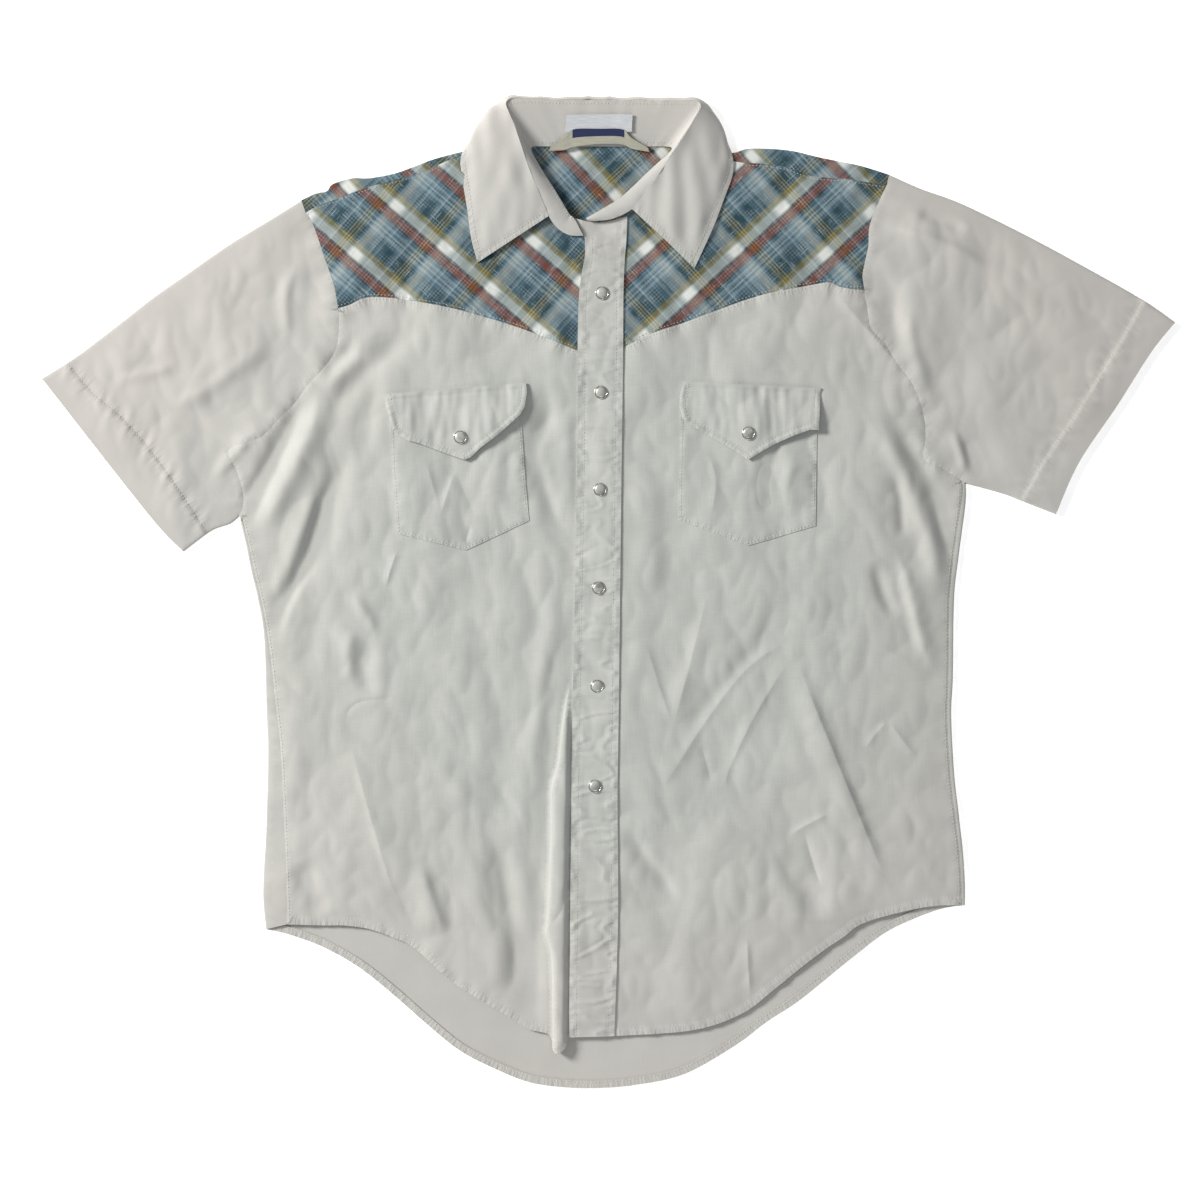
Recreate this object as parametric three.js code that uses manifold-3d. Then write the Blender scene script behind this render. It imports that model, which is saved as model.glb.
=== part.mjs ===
// A short-sleeved western snap shirt, size XL, laid flat on its back with the front up.
// Millimetres. +X is the viewer's right, +Y points to the collar, +Z is up, and the
// surface that the shirt lies on is z = 0. "Right" and "left" in names are the wearer's,
// so the right front lies on the viewer's left.
//
// Two layers of cloth lie on each other. The under layer (back, back yoke, undersides of
// the sleeves) is flat on the surface. The upper layer (fronts, front yokes, tops of the
// sleeves) drapes over it at the height that drape(x, y) gives: a little loft, and the
// largest folds. Each panel is cut out of its layer along its own outline.
import * as THREE from 'three';
import { mergeVertices } from 'three/addons/utils/BufferGeometryUtils.js';
import Module from 'manifold-3d';

const wasm = await Module();
wasm.setup();

// Driving dimensions
const WALL = 1.4; // one layer of cloth with its finish
const FLOOR_WALL = 1.2; // the under layer, pressed flat
const BAND = 1.8; // doubled cloth of the placket and the pocket flaps
const LABEL_WALL = 1;
const SEAM_GAP = 0.3; // between two panels at a seam
const SEWN_GAP = 0.4; // between a panel and what is sewn on it
const INSIDE_GAP = 0.6; // least room between the under and the upper layer
const ON_FRONT = WALL + SEWN_GAP; // height of what is sewn on a front, over its underside
const ON_POCKET = ON_FRONT + WALL + SEWN_GAP; // and of the flap over a pocket
const HEM = 0.7; // extra thickness of a turned hem
const SNAP = {
  radius: 5.75,
  rim: 1.1,
  ringHeight: 1.6,
  bevel: 0.5, // under the ring
  shoulder: 0.7, // height of the ring's widest place
  lip: 0.4, // how far the ring draws in at its top
  dome: 1.5,
  domeSunk: 0.2,
  domeAngles: [20, 45, 70, 90],
  turns: 12,
  seat: 11, // radius of the cloth that the snap stays clear of
};
const LOFT = { sleeve: 2.2, yoke: 2.4, body: 4.4, reach: 24 };
const LOFT_ZONES = { sleeveFrom: 290, sleeveTo: 220, yokeFrom: 300, yokeTo: 200 };
const STEP = 13; // spacing of the points along a cut edge
const FOLD_WALL = 1.7; // how far the hollow of a sleeve stays from a folded edge
const PAST_EDGE = 12; // how far that hollow runs out past the cuff
const TIDY = 0.05; // slivers smaller than this are merged away
const SAME_POINT = 1e-4; // points closer than this are one
const CUT = { low: -10, high: 60 }; // a cutting prism reaches past both faces of a panel
const SHARP_CORNER = 0.6; // keeps the point of a sharp corner from running off when it is inset
const WRAP_OPENING = { side: 4, shoulder: 6 }; // how far a wrap's hollow runs out past its seam
const LATTICE_MARGIN = 1; // least reach of the lattice past an outline
const STAND_BULGE = 1.1; // of the collar band between its edges
const FINER = { collar: 2, label: 4 }; // sections made for each one in a table

const CLOTH = { color: 0xc9cac5, roughness: 0.9, metalness: 0 };
const PLAID = { color: 0x6f8b93, roughness: 0.9, metalness: 0 };
const LABEL = { color: 0xeef0ee, roughness: 0.7, metalness: 0 };
const PEARL = { color: 0xd9dcd8, roughness: 0.25, metalness: 0.4 };

// The lattice on which the upper layer is worked out: finer where the folds are
const LATTICE_X = [
  { from: -520, to: -320, step: 20 },
  { from: -320, to: -240, step: 11.5 },
  { from: -240, to: -60, step: 18 },
  { from: -60, to: -27, step: 5.5 },
  { from: -27, to: 210, step: 17 },
  { from: 210, to: 300, step: 11 },
  { from: 300, to: 520, step: 20 },
];
const LATTICE_Y = [
  { from: -450, to: 60, step: 21 },
  { from: 60, to: 190, step: 13 },
  { from: 190, to: 450, step: 17 },
];

// Largest folds of the upper layer. Each runs from (x1, y1) to (x2, y2), bows sideways
// by bow at its middle, and fades over the share ends at either end. left and right are
// its half widths on the two sides, seen along its run, and rise is its height.
// Columns: name, x1, y1, x2, y2, bow, left, right, rise, ends
const FOLD_TABLE = [
  ['ridge beside the placket', -20, -20, -36, -520, -13, 7, 10, 8.5, 0.28],
  ['crease left of that ridge', -44, -60, -68, -450, -4, 8, 12, -2.2, 0.3],
  ['deep trough at right armhole', -255, 176, -318, 56, 0, 9, 8, -4.2, 0.2],
  ['ridge beside that trough', -240, 168, -299, 50, 0, 10, 9, 4.5, 0.25],
  ['small trough under right yoke', -210, 214, -250, 183, 0, 8, 8, -1.8, 0.35],
  ['drag line to right side', -223, 145, -262, 0, 5, 10, 11, -2.4, 0.3],
  ['lower drag line', -247, 0, -268, -90, 2, 11, 11, -1.6, 0.35],
  ['slanting ridge, right front', -232, -140, -172, -275, 6, 14, 14, 1.8, 0.35],
  ['broad trough, right front', -64, -65, -84, -350, -22, 18, 16, -2.4, 0.3],
  ['ridge at right hem', -162, -294, -136, -345, 0, 11, 11, 2, 0.35],
  ['ridge below left armhole', 219, 164, 288, -12, 10, 9, 8, 3.6, 0.3],
  ['trough beside that ridge', 236, 158, 298, 10, 12, 8, 9, -2.8, 0.3],
  ['long crease, left front', 160, -52, 241, -256, -8, 9, 11, 2.4, 0.3],
  ['broad trough, left front', 134, -182, 194, -266, 0, 17, 17, -2.4, 0.35],
  ['slanting crease, left front', 156, -22, 52, -146, -6, 9, 9, -2, 0.3],
  ['crease across the last', 88, -6, 56, -118, 0, 9, 9, 1.8, 0.35],
  ['trough at right sleeve head', -252, 292, -259, 206, 0, 11, 9, -2.2, 0.35],
  ['ridge across right sleeve', -388, 156, -286, 218, 6, 12, 12, 1.5, 0.35],
  ['trough at left sleeve head', 233, 288, 250, 206, 0, 10, 11, -2.4, 0.35],
  ['ridge across left sleeve', 230, 315, 330, 280, 4, 11, 11, 1.8, 0.35],
];
const FOLDS = FOLD_TABLE.map(([name, x1, y1, x2, y2, bow, left, right, rise, ends]) => (
  { name, x1, y1, x2, y2, bow, left, right, rise, ends }
));

// Edges of the laid-out shirt, one point for each turn, joined by smooth curves
const EDGE = {
  rightSleeveTop: [
    [-264, 337], [-293, 319], [-326, 299], [-359, 276], [-392, 253], [-424, 228], [-457, 203],
    [-486.8, 184],
  ],
  rightCuff: [[-486.8, 184], [-451, 138], [-415, 92], [-385, 55], [-365, 35]],
  rightUnderarm: [[-365, 35], [-352, 45], [-339, 54], [-325, 59], [-317.5, 65]],
  rightArmholeLow: [
    [-317.5, 66], [-313.8, 76], [-315, 90], [-320, 106], [-326.5, 122], [-308, 130], [-297, 134],
    [-284, 148], [-270, 162], [-257.6, 179], [-247, 190], [-235, 207], [-231.5, 224], [-232, 244],
  ],
  rightArmholeHigh: [
    [-232, 244], [-235, 261], [-239, 274], [-244, 288], [-250, 306], [-256, 321], [-260, 326],
  ],
  rightShoulderTip: [[-260, 326], [-264, 337]],
  rightShoulderFold: [
    [-264, 337], [-252, 342.7], [-242, 345], [-237, 351], [-220, 356], [-206, 356], [-184, 360],
    [-167, 366], [-151, 372], [-129, 378], [-100, 384], [-73, 385.5],
  ],
  rightShoulderSeam: [
    [-260, 326], [-250, 332], [-233, 338], [-206, 348], [-173, 357], [-156, 362.5], [-130, 374],
    [-100, 380], [-73, 381.5],
  ],
  rightYokeSeam: [
    [-232, 244], [-222, 247], [-208, 253], [-189, 253], [-167, 250], [-145, 246], [-123, 241],
    [-78, 227.5], [-27, 207.5], [4, 195],
  ],
  rightNeck: [
    [-68.4, 381], [-61, 369], [-51.4, 354.7], [-40, 335.8], [-32.5, 322.5], [-24, 318], [-14, 321],
    [-4, 329], [6.5, 336],
  ],
  rightSide: [
    [-317.5, 64], [-312, 42], [-307.4, 19], [-301.5, -6], [-296.3, -39], [-294, -105],
    [-292.8, -138], [-294.5, -204], [-296.3, -237], [-297, -263], [-294.5, -289.5],
  ],
  rightSideSeam: [
    [-314.6, 62], [-309, 40], [-304.4, 18], [-298.5, -7], [-292.5, -40], [-285, -105],
    [-281.6, -138], [-278.5, -204], [-277, -240], [-275.8, -285],
  ],
  rightHem: [
    [-275.8, -285], [-244, -286], [-227, -286], [-206, -289], [-186, -296], [-166, -306],
    [-134, -334.5], [-105, -353], [-85, -365], [-69, -375], [-51, -380], [-47.8, -393],
    [-43.4, -395.5], [-37, -391], [-32, -381.5], [-3.8, -381],
  ],
  centre: [
    [6.5, 336], [6, 290], [4.4, 258], [4, 195], [3.4, 154], [2.8, 114], [0.4, -92], [-0.7, -176],
    [-0.3, -280], [-3.8, -381],
  ],
  leftNeck: [[6.5, 336], [14, 342.5], [24.3, 352], [36.9, 364], [54.6, 380.3]],
  leftShoulderSeam: [
    [56, 381], [79, 376], [111, 369.5], [134, 368], [154, 364.7], [174, 357.5], [190, 356],
    [207, 354.7], [226, 351.7], [239, 350],
  ],
  leftShoulderFold: [
    [56, 384], [80, 382], [106, 377.8], [121, 381.5], [154, 380], [182, 373.7], [215, 367],
    [241, 359],
  ],
  leftShoulderTip: [[239, 350], [241, 359]],
  leftArmholeHigh: [
    [239, 350], [236, 344], [231, 333], [226, 321], [223.4, 310.6], [223, 298], [219.8, 282],
    [218, 272], [219.7, 260.4],
  ],
  leftArmholeLow: [
    [219.7, 260.4], [223, 236], [225.4, 225.8], [237.4, 212.8], [247, 197], [258.4, 182],
    [266, 166.4], [271, 149], [272, 133], [270.5, 114.5], [284.6, 107], [298, 99.3], [303.2, 95.9],
    [307, 93.5],
  ],
  leftYokeSeam: [
    [4, 207.4], [13.5, 210.4], [35.7, 221.5], [65.8, 231.8], [92, 241.6], [130, 254.7],
    [176.7, 264.4], [190, 266], [198, 262.5], [209, 260.4], [219.7, 260.4],
  ],
  leftSide: [
    [307, 93.5], [307, 78], [304, 54], [300.6, 28], [297, -6], [296, -72], [294.6, -105],
    [297, -154], [301, -190.5], [304.7, -224], [306.3, -250], [306.3, -268.7],
  ],
  leftSideSeam: [
    [303.2, 95.9], [302.8, 77], [299.5, 53], [296, 27], [292.6, -7], [292, -72], [291, -105],
    [293.5, -154], [297.5, -190.5], [301.3, -224], [303, -250], [303, -268.7],
  ],
  leftHem: [
    [-3.8, -381], [5, -381], [72, -376], [114, -362], [141, -342], [165.5, -322], [184, -308],
    [201.7, -296], [211.5, -288], [220, -283.7], [234, -279], [256, -273.5], [280, -269.2],
    [303, -268.7],
  ],
  backHem: [
    [-294.5, -289.5], [-278, -293], [-247, -304], [-215, -322], [-186.5, -344.5], [-154, -373],
    [-126, -395], [-93, -411.5], [-69, -420.7], [-44, -424.8], [-14, -426.1], [22, -423.5],
    [65, -414], [108, -390], [137, -368.5], [165, -350], [212, -312], [243, -289.5], [282.5, -273],
    [306.3, -268.7],
  ],
  leftSleeveTop: [
    [241, 359], [268, 347], [302, 334.5], [355, 308.8], [404, 282.5], [457, 252.6], [486.8, 232],
  ],
  leftCuff: [[486.8, 232], [466.5, 206.8], [437, 160.6], [404, 111.4], [384.3, 67]],
  leftUnderarm: [[384.3, 67], [355, 78.4], [338, 85], [307, 93.5]],
};

// Back neckline, between the ends of the two shoulder folds
const NECK_BACK = [[-66, 380.6], [-5, 380.2], [54, 380.6]];

// Lines of hem stitches across the sleeves, and the points past the armhole through which
// the room inside each sleeve runs out
const SLEEVE_HEMS = { right: [[-457, 200], [-349.5, 58]], left: [[457, 249], [356, 80]] };
const PAST_ARMHOLE = {
  right: [[-300, 69], [-200, 100], [-200, 320], [-255, 331]],
  left: [[295, 94], [200, 94], [200, 345], [233, 352]],
};

// The placket, top edge along the collar band, and its left and right edges
const PLACKET = {
  left: [
    [-20, 304], [-20.5, 286], [-25, 258.5], [-26.5, 209.5], [-27, 114], [-30.8, -92.5], [-32, -176],
    [-33, -280], [-34, -382],
  ],
  right: [
    [5, -381], [8.2, -280], [7.8, -176], [8.9, -92.5], [11.3, 114], [11.9, 154.4], [12.5, 209.4],
    [12.9, 258.4], [14, 286], [15.2, 300], [16.2, 323],
  ],
  top: [[16.2, 323], [3, 319.3], [-8, 317.6], [-18, 317.8], [-20, 304]],
};

// Pockets and flaps as they lie. The upper edge of each pocket is under its flap.
const POCKETS = {
  pocket_right: [
    [-187, 158.5], [-186.4, 136], [-185.3, 104], [-181, 50.3], [-122.3, 36.1], [-68, 61.5],
    [-71.8, 103.6], [-74.4, 144], [-73.5, 168],
  ],
  pocket_left: [
    [61.4, 168], [61.8, 147.5], [60.2, 92.4], [60.2, 62.3], [119.5, 40], [177.6, 57], [178.1, 92.4],
    [178.7, 136.3], [180, 164],
  ],
};
const FLAPS = {
  flap_right: [
    [-192, 169.9], [-190.8, 160.4], [-187.5, 148.4], [-184, 139], [-179, 134.6], [-172.4, 130.3],
    [-161, 127.2], [-138, 118.5], [-123.5, 113.5], [-118, 115.7], [-110, 123.4], [-95, 134.6],
    [-81, 147], [-75.5, 152], [-71.6, 159.5], [-69.7, 171.6], [-70.7, 179.8],
  ],
  flap_left: [
    [64, 181], [61.2, 169.4], [60.6, 159.5], [63.2, 149.6], [68.4, 144], [82.6, 136.3], [99, 127],
    [110, 120], [119.4, 113.5], [132, 121.2], [143, 127.3], [159.5, 134.6], [172.4, 139.2],
    [180.2, 138.9], [181, 158.7], [181.9, 175],
  ],
};

// Snaps: places on the placket from the collar down, and one on each flap
const PLACKET_SNAPS = [
  [-5.6, 256.7], [-6.5, 171.6], [-7.3, 88.2], [-8.6, 3.9], [-9.9, -80.4], [-11.6, -166],
];
const FLAP_SNAPS = { snap_flap_right: [-126.9, 132.9], snap_flap_left: [119.6, 136.3] };

// Collar band, from its end on the right front round the neck to its end over the placket.
// neck is the edge sewn to the neckline, roll the edge that carries the leaf.
const BAND_SECTIONS = [
  { neck: [-21.6, 318.6, 8.3], roll: [-21.6, 306, 8.3] },
  { neck: [-28, 320.5, 8.3], roll: [-33, 306.3, 9] },
  { neck: [-33.5, 324, 8.3], roll: [-43.5, 312, 9.8] },
  { neck: [-38.5, 332, 8.2], roll: [-51.2, 322.5, 10.8] },
  { neck: [-46.5, 345.5, 8], roll: [-58.5, 340, 12.2] },
  { neck: [-56.5, 361, 7.4], roll: [-68, 363.5, 14] },
  { neck: [-66, 377.5, 6.4], roll: [-76, 387, 15.4] },
  { neck: [-65.5, 382.6, 4.2], roll: [-81.5, 402, 15] },
  { neck: [-60, 383.4, 2], roll: [-83.5, 415, 13] },
  { neck: [-48, 383.4, 1.5], roll: [-73.5, 421.6, 11.2] },
  { neck: [-30, 383.4, 1.4], roll: [-40, 422.2, 9.8] },
  { neck: [-5, 383.4, 1.4], roll: [-5, 422.2, 9.4] },
  { neck: [22, 383.4, 1.4], roll: [32, 421.8, 9.8] },
  { neck: [42, 383.4, 1.5], roll: [66, 420.2, 11.2] },
  { neck: [50, 383.2, 2.2], roll: [77, 413.5, 13] },
  { neck: [54.6, 381.6, 4.4], roll: [72.5, 403, 15] },
  { neck: [53, 377.6, 6.4], roll: [62.5, 387.6, 15.4] },
  { neck: [43.5, 369, 7.4], roll: [51.5, 370.5, 14] },
  { neck: [32, 358.4, 8], roll: [41.6, 356, 12.6] },
  { neck: [20.5, 347.4, 8.2], roll: [30.6, 341.5, 11] },
  { neck: [9.5, 337.8, 8.4], roll: [20, 328.6, 9.8] },
  { neck: [-3, 330, 8.5], roll: [5, 321, 9] },
  { neck: [-14, 323.5, 8.5], roll: [-8, 318.9, 8.6] },
  { neck: [-19, 320.6, 8.5], roll: [-17.6, 318.7, 8.5] },
];

// Collar leaf, from the right point to the left one. roll is where it leaves the band,
// turn where it is furthest out or highest, edge its outer edge. Behind the neck the leaf
// turns under itself and lies on the surface.
const LEAF_SECTIONS = [
  { roll: [-53, 321.6, 11.6], turn: [-82, 302.5, 10.6], edge: [-112.2, 282.8, 7.3] },
  { roll: [-60, 339.5, 13], turn: [-88.5, 323.5, 12], edge: [-117.6, 303, 7.2] },
  { roll: [-69.8, 363.5, 14.8], turn: [-96, 349.5, 12.5], edge: [-121.5, 331, 6.8] },
  { roll: [-77.6, 388, 16.2], turn: [-103.5, 375.5, 12.2], edge: [-125.8, 358, 6] },
  { roll: [-83, 403.2, 15.8], turn: [-109.5, 388.5, 9.4], edge: [-126.3, 374.2, 5.6] },
  { roll: [-85, 412, 14.4], turn: [-112.8, 399, 6.4], edge: [-117.5, 388.5, 1.2] },
  { roll: [-85.6, 419, 12.6], turn: [-103, 412.8, 5.2], edge: [-99.5, 392.5, 0.8] },
  { roll: [-80, 423.4, 10.8], turn: [-86, 422.6, 4.4], edge: [-85, 391, 0.8] },
  { roll: [-60, 423.8, 9.8], turn: [-62, 422.4, 4.2], edge: [-60, 390.5, 0.8] },
  { roll: [-5, 423.8, 9.2], turn: [-5, 422.4, 4.2], edge: [-5, 390, 0.8] },
  { roll: [54, 423.2, 9.8], turn: [56, 422.4, 4.2], edge: [54, 390.5, 0.8] },
  { roll: [74, 421.6, 10.8], turn: [80, 420.6, 4.4], edge: [78, 391, 0.8] },
  { roll: [79.4, 416.8, 12.6], turn: [92, 409, 5.2], edge: [90, 391.5, 0.8] },
  { roll: [79, 411, 14.2], turn: [98, 396, 6.4], edge: [101, 386.5, 1.2] },
  { roll: [74.4, 403.4, 15.8], turn: [94.5, 386.5, 9.6], edge: [106.6, 372.5, 5.6] },
  { roll: [64.4, 387.6, 16.2], turn: [87, 371.5, 12.2], edge: [106.2, 358, 6] },
  { roll: [49.6, 364, 14.6], turn: [77.5, 350, 12.4], edge: [99, 337.5, 6.8] },
  { roll: [36, 346, 12.6], turn: [63.5, 328.5, 11.6], edge: [89.5, 312.5, 7.1] },
  { roll: [21.4, 327.8, 10.8], turn: [47, 303.6, 10.2], edge: [73.8, 278, 7.3] },
];

// Labels at the back of the neck, each a strip of sections from its left to its right end
const CARE_LABEL = [
  { low: [-37.6, 394.6, 6.9], high: [-36, 409, 9.7] },
  { low: [-9, 394.8, 6.4], high: [-8, 409.6, 9] },
  { low: [20, 395.2, 6.5], high: [20.6, 409.6, 9.4] },
];
const LOOP_LABEL = [
  { low: [-48, 379.6, 3], high: [-46, 384.6, 4.2] },
  { low: [-33, 385.6, 4.6], high: [-32, 393, 7.2] },
  { low: [-8, 386.6, 4.8], high: [-8, 393.8, 7] },
  { low: [14, 386, 4.6], high: [13, 393.2, 7.2] },
  { low: [32, 378.8, 3], high: [30.6, 384, 4.2] },
];

// Small helpers for curves and outlines

// Catmull-Rom curve through the points, with a point about every step
function smooth(points, step = STEP) {
  const at = (i) => points[Math.min(Math.max(i, 0), points.length - 1)];
  const line = [points[0]];
  for (let i = 0; i + 1 < points.length; i += 1) {
    const [a, b, c, d] = [at(i - 1), at(i), at(i + 1), at(i + 2)];
    const length = Math.hypot(...b.map((value, k) => c[k] - value));
    const parts = Math.max(1, Math.round(length / step));
    for (let j = 1; j <= parts; j += 1) {
      const t = j / parts;
      line.push(b.map((value, k) => catmullRom(a[k], value, c[k], d[k], t)));
    }
  }
  return line;
}

function catmullRom(a, b, c, d, t) {
  const linear = (c - a) * t;
  const square = (2 * a - 5 * b + 4 * c - d) * t * t;
  const cube = (3 * b - a - 3 * c + d) * t * t * t;
  return b + 0.5 * (linear + square + cube);
}

function backwards(points) {
  return [...points].reverse();
}

// Joins edges end to end into one closed outline, each curve smoothed by itself
function outlineOf(...edges) {
  const outline = edges.flatMap((edge) => smooth(edge).slice(0, -1));
  return area(outline) > 0 ? outline : backwards(outline);
}

function area(outline) {
  return outline.reduce((sum, [x, y], i) => {
    const [nextX, nextY] = outline[(i + 1) % outline.length];
    return sum + (x * nextY - nextX * y) / 2;
  }, 0);
}

// Moves every side of a counter-clockwise outline inward by the same distance
function inset(outline, distance) {
  return outline.map(([x, y], i) => {
    const before = sideNormal(outline[(i + outline.length - 1) % outline.length], [x, y]);
    const after = sideNormal([x, y], outline[(i + 1) % outline.length]);
    const mean = [before[0] + after[0], before[1] + after[1]];
    const reach = Math.max(mean[0] ** 2 + mean[1] ** 2, SHARP_CORNER);
    const shift = (2 * distance) / reach;
    return [x + mean[0] * shift, y + mean[1] * shift];
  });
}

function sideNormal([x1, y1], [x2, y2]) {
  const length = Math.hypot(x2 - x1, y2 - y1);
  return [(y1 - y2) / length, (x2 - x1) / length];
}

function distanceToSide(x, y, [x1, y1], [x2, y2]) {
  const [dx, dy] = [x2 - x1, y2 - y1];
  const along = ((x - x1) * dx + (y - y1) * dy) / (dx * dx + dy * dy);
  const t = THREE.MathUtils.clamp(along, 0, 1);
  return Math.hypot(x - x1 - dx * t, y - y1 - dy * t);
}

// Distance from a point inside the outline to its nearest side, and 0 outside it
function depthInside(x, y, outline) {
  let inside = false;
  let nearest = Infinity;
  outline.forEach((start, i) => {
    const end = outline[(i + 1) % outline.length];
    nearest = Math.min(nearest, distanceToSide(x, y, start, end));
    const crosses = start[1] > y !== end[1] > y;
    const crossing = start[0] + ((end[0] - start[0]) * (y - start[1])) / (end[1] - start[1]);
    if (crosses && x < crossing) inside = !inside;
  });
  return inside ? nearest : 0;
}

// Height of the upper layer

const UPPER_OUTLINE = outlineOf(
  EDGE.rightSleeveTop, EDGE.rightCuff, EDGE.rightUnderarm, EDGE.rightSide,
  [EDGE.rightSide.at(-1), EDGE.rightHem[0]], EDGE.rightHem, EDGE.leftHem,
  [EDGE.leftHem.at(-1), EDGE.leftSide.at(-1)], backwards(EDGE.leftSide),
  backwards(EDGE.leftUnderarm), backwards(EDGE.leftCuff), backwards(EDGE.leftSleeveTop),
  backwards(EDGE.leftShoulderFold), backwards(EDGE.rightShoulderFold),
);

function foldHeight(x, y, fold) {
  const [dx, dy] = [fold.x2 - fold.x1, fold.y2 - fold.y1];
  const length = Math.hypot(dx, dy);
  const along = ((x - fold.x1) * dx + (y - fold.y1) * dy) / (length * length);
  if (along <= 0 || along >= 1) return 0;
  const side = ((y - fold.y1) * dx - (x - fold.x1) * dy) / length;
  const across = side - 4 * fold.bow * along * (1 - along);
  const width = across > 0 ? fold.left : fold.right;
  const fade = THREE.MathUtils.smoothstep(Math.min(along, 1 - along), 0, fold.ends);
  return fold.rise * fade * Math.exp(-((across / width) ** 2));
}

function loft(x, y) {
  const { sleeveFrom, sleeveTo, yokeFrom, yokeTo } = LOFT_ZONES;
  const toBody = 1 - THREE.MathUtils.smoothstep(Math.abs(x), sleeveTo, sleeveFrom);
  const toChest = 1 - THREE.MathUtils.smoothstep(y, yokeTo, yokeFrom);
  const torso = THREE.MathUtils.lerp(LOFT.yoke, LOFT.body, toChest);
  const full = THREE.MathUtils.lerp(LOFT.sleeve, torso, toBody);
  return full * (1 - Math.exp(-depthInside(x, y, UPPER_OUTLINE) / LOFT.reach));
}

// Underside of the upper layer at a place on the shirt
function drape(x, y) {
  const folds = FOLDS.reduce((sum, fold) => sum + foldHeight(x, y, fold), 0);
  return FLOOR_WALL + INSIDE_GAP + Math.max(0, loft(x, y) + folds);
}

// Solids

// A BufferGeometry or plain arrays of a closed surface as a solid for joining and cutting
function solid(geometry) {
  const bare = geometry.clone();
  bare.deleteAttribute('normal');
  bare.deleteAttribute('uv');
  const merged = mergeVertices(bare, SAME_POINT);
  return new wasm.Manifold(new wasm.Mesh({
    numProp: 3,
    vertProperties: new Float32Array(merged.attributes.position.array),
    triVerts: new Uint32Array(merged.index.array),
  }));
}

// The prism that cuts a panel along its outline
function cutter(outline, low = CUT.low, high = CUT.high) {
  const shape = new THREE.Shape(outline.map(([x, y]) => new THREE.Vector2(x, y)));
  const geometry = new THREE.ExtrudeGeometry(shape, { depth: high - low, bevelEnabled: false });
  geometry.translate(0, 0, low);
  return solid(geometry);
}

// A closed wall between two grids of points with the same rows and columns
function wall(upper, lower) {
  const rows = upper.length;
  const columns = upper[0].length;
  const points = [...upper.flat(), ...lower.flat()];
  const top = (i, j) => i * columns + j;
  const bottom = (i, j) => rows * columns + top(i, j);
  const faces = [];
  const quad = (a, b, c, d) => faces.push(a, b, c, a, c, d);
  for (let i = 0; i + 1 < rows; i += 1) {
    for (let j = 0; j + 1 < columns; j += 1) {
      quad(top(i, j), top(i, j + 1), top(i + 1, j + 1), top(i + 1, j));
      quad(bottom(i, j), bottom(i + 1, j), bottom(i + 1, j + 1), bottom(i, j + 1));
    }
  }
  const rim = [];
  for (let j = 0; j + 1 < columns; j += 1) rim.push([0, j]);
  for (let i = 0; i + 1 < rows; i += 1) rim.push([i, columns - 1]);
  for (let j = columns - 1; j > 0; j -= 1) rim.push([rows - 1, j]);
  for (let i = rows - 1; i > 0; i -= 1) rim.push([i, 0]);
  rim.forEach(([i, j], k) => {
    const [nextI, nextJ] = rim[(k + 1) % rim.length];
    quad(top(i, j), bottom(i, j), bottom(nextI, nextJ), top(nextI, nextJ));
  });
  const geometry = new THREE.BufferGeometry().setFromPoints(points);
  geometry.setIndex(faces);
  return outward(geometry);
}

// Turns the faces over if they point into the body
function outward(geometry) {
  const { array } = geometry.attributes.position;
  const index = geometry.index.array;
  const corner = (k) => new THREE.Vector3().fromArray(array, index[k] * 3);
  let volume = 0;
  for (let k = 0; k < index.length; k += 3) {
    volume += corner(k).dot(corner(k + 1).cross(corner(k + 2)));
  }
  if (volume > 0) return geometry;
  const turned = [...index];
  for (let k = 0; k < turned.length; k += 3) {
    [turned[k + 1], turned[k + 2]] = [turned[k + 2], turned[k + 1]];
  }
  geometry.setIndex(turned);
  return geometry;
}

function latticeLines(zones, low, high) {
  const lines = zones.flatMap(({ from, to, step }) => {
    const parts = Math.round((to - from) / step);
    return Array.from({ length: parts }, (_, i) => from + ((to - from) * i) / parts);
  });
  const first = lines.findLastIndex((value) => value < low - LATTICE_MARGIN);
  const last = lines.findIndex((value) => value > high + LATTICE_MARGIN);
  return lines.slice(first, last + 1);
}

// A slab of the upper layer round an outline, from height low(x, y) to high(x, y)
function slab(outline, low, high) {
  const xs = outline.map(([x]) => x);
  const ys = outline.map(([, y]) => y);
  const columns = latticeLines(LATTICE_X, Math.min(...xs), Math.max(...xs));
  const rows = latticeLines(LATTICE_Y, Math.min(...ys), Math.max(...ys));
  const grid = (height) => rows.map((y) => columns.map((x) => new THREE.Vector3(x, y, height(x, y))));
  return solid(wall(grid(high), grid(low)));
}

// Cuts a panel out of the upper layer. lift is how far it lies above the layer's underside.
function upperPanel(outline, lift = 0, thickness = WALL) {
  const cut = inset(outline, SEAM_GAP / 2);
  const low = (x, y) => drape(x, y) + lift;
  const high = (x, y) => low(x, y) + thickness;
  return slab(cut, low, high).intersect(cutter(cut));
}

function underPanel(outline) {
  return cutter(inset(outline, SEAM_GAP / 2), 0, FLOOR_WALL);
}

// Both layers of an outline whose cloth is folded over along some of its edges. hollow is
// the outline of the room between the layers, which runs out past the open edges.
function foldedPanel(outline, hollow) {
  const cut = inset(outline, SEAM_GAP / 2);
  const under = () => 0;
  const inside = () => FLOOR_WALL;
  const full = slab(cut, under, (x, y) => drape(x, y) + WALL).intersect(cutter(cut));
  const room = slab(hollow, inside, drape).intersect(cutter(hollow));
  return full.subtract(room);
}

// Ties two open curves into a strip: one edge is folded, the other is open
function strip(folded, open) {
  return outlineOf(folded, [folded.at(-1), open.at(-1)], backwards(open), [open[0], folded[0]]);
}

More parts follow.
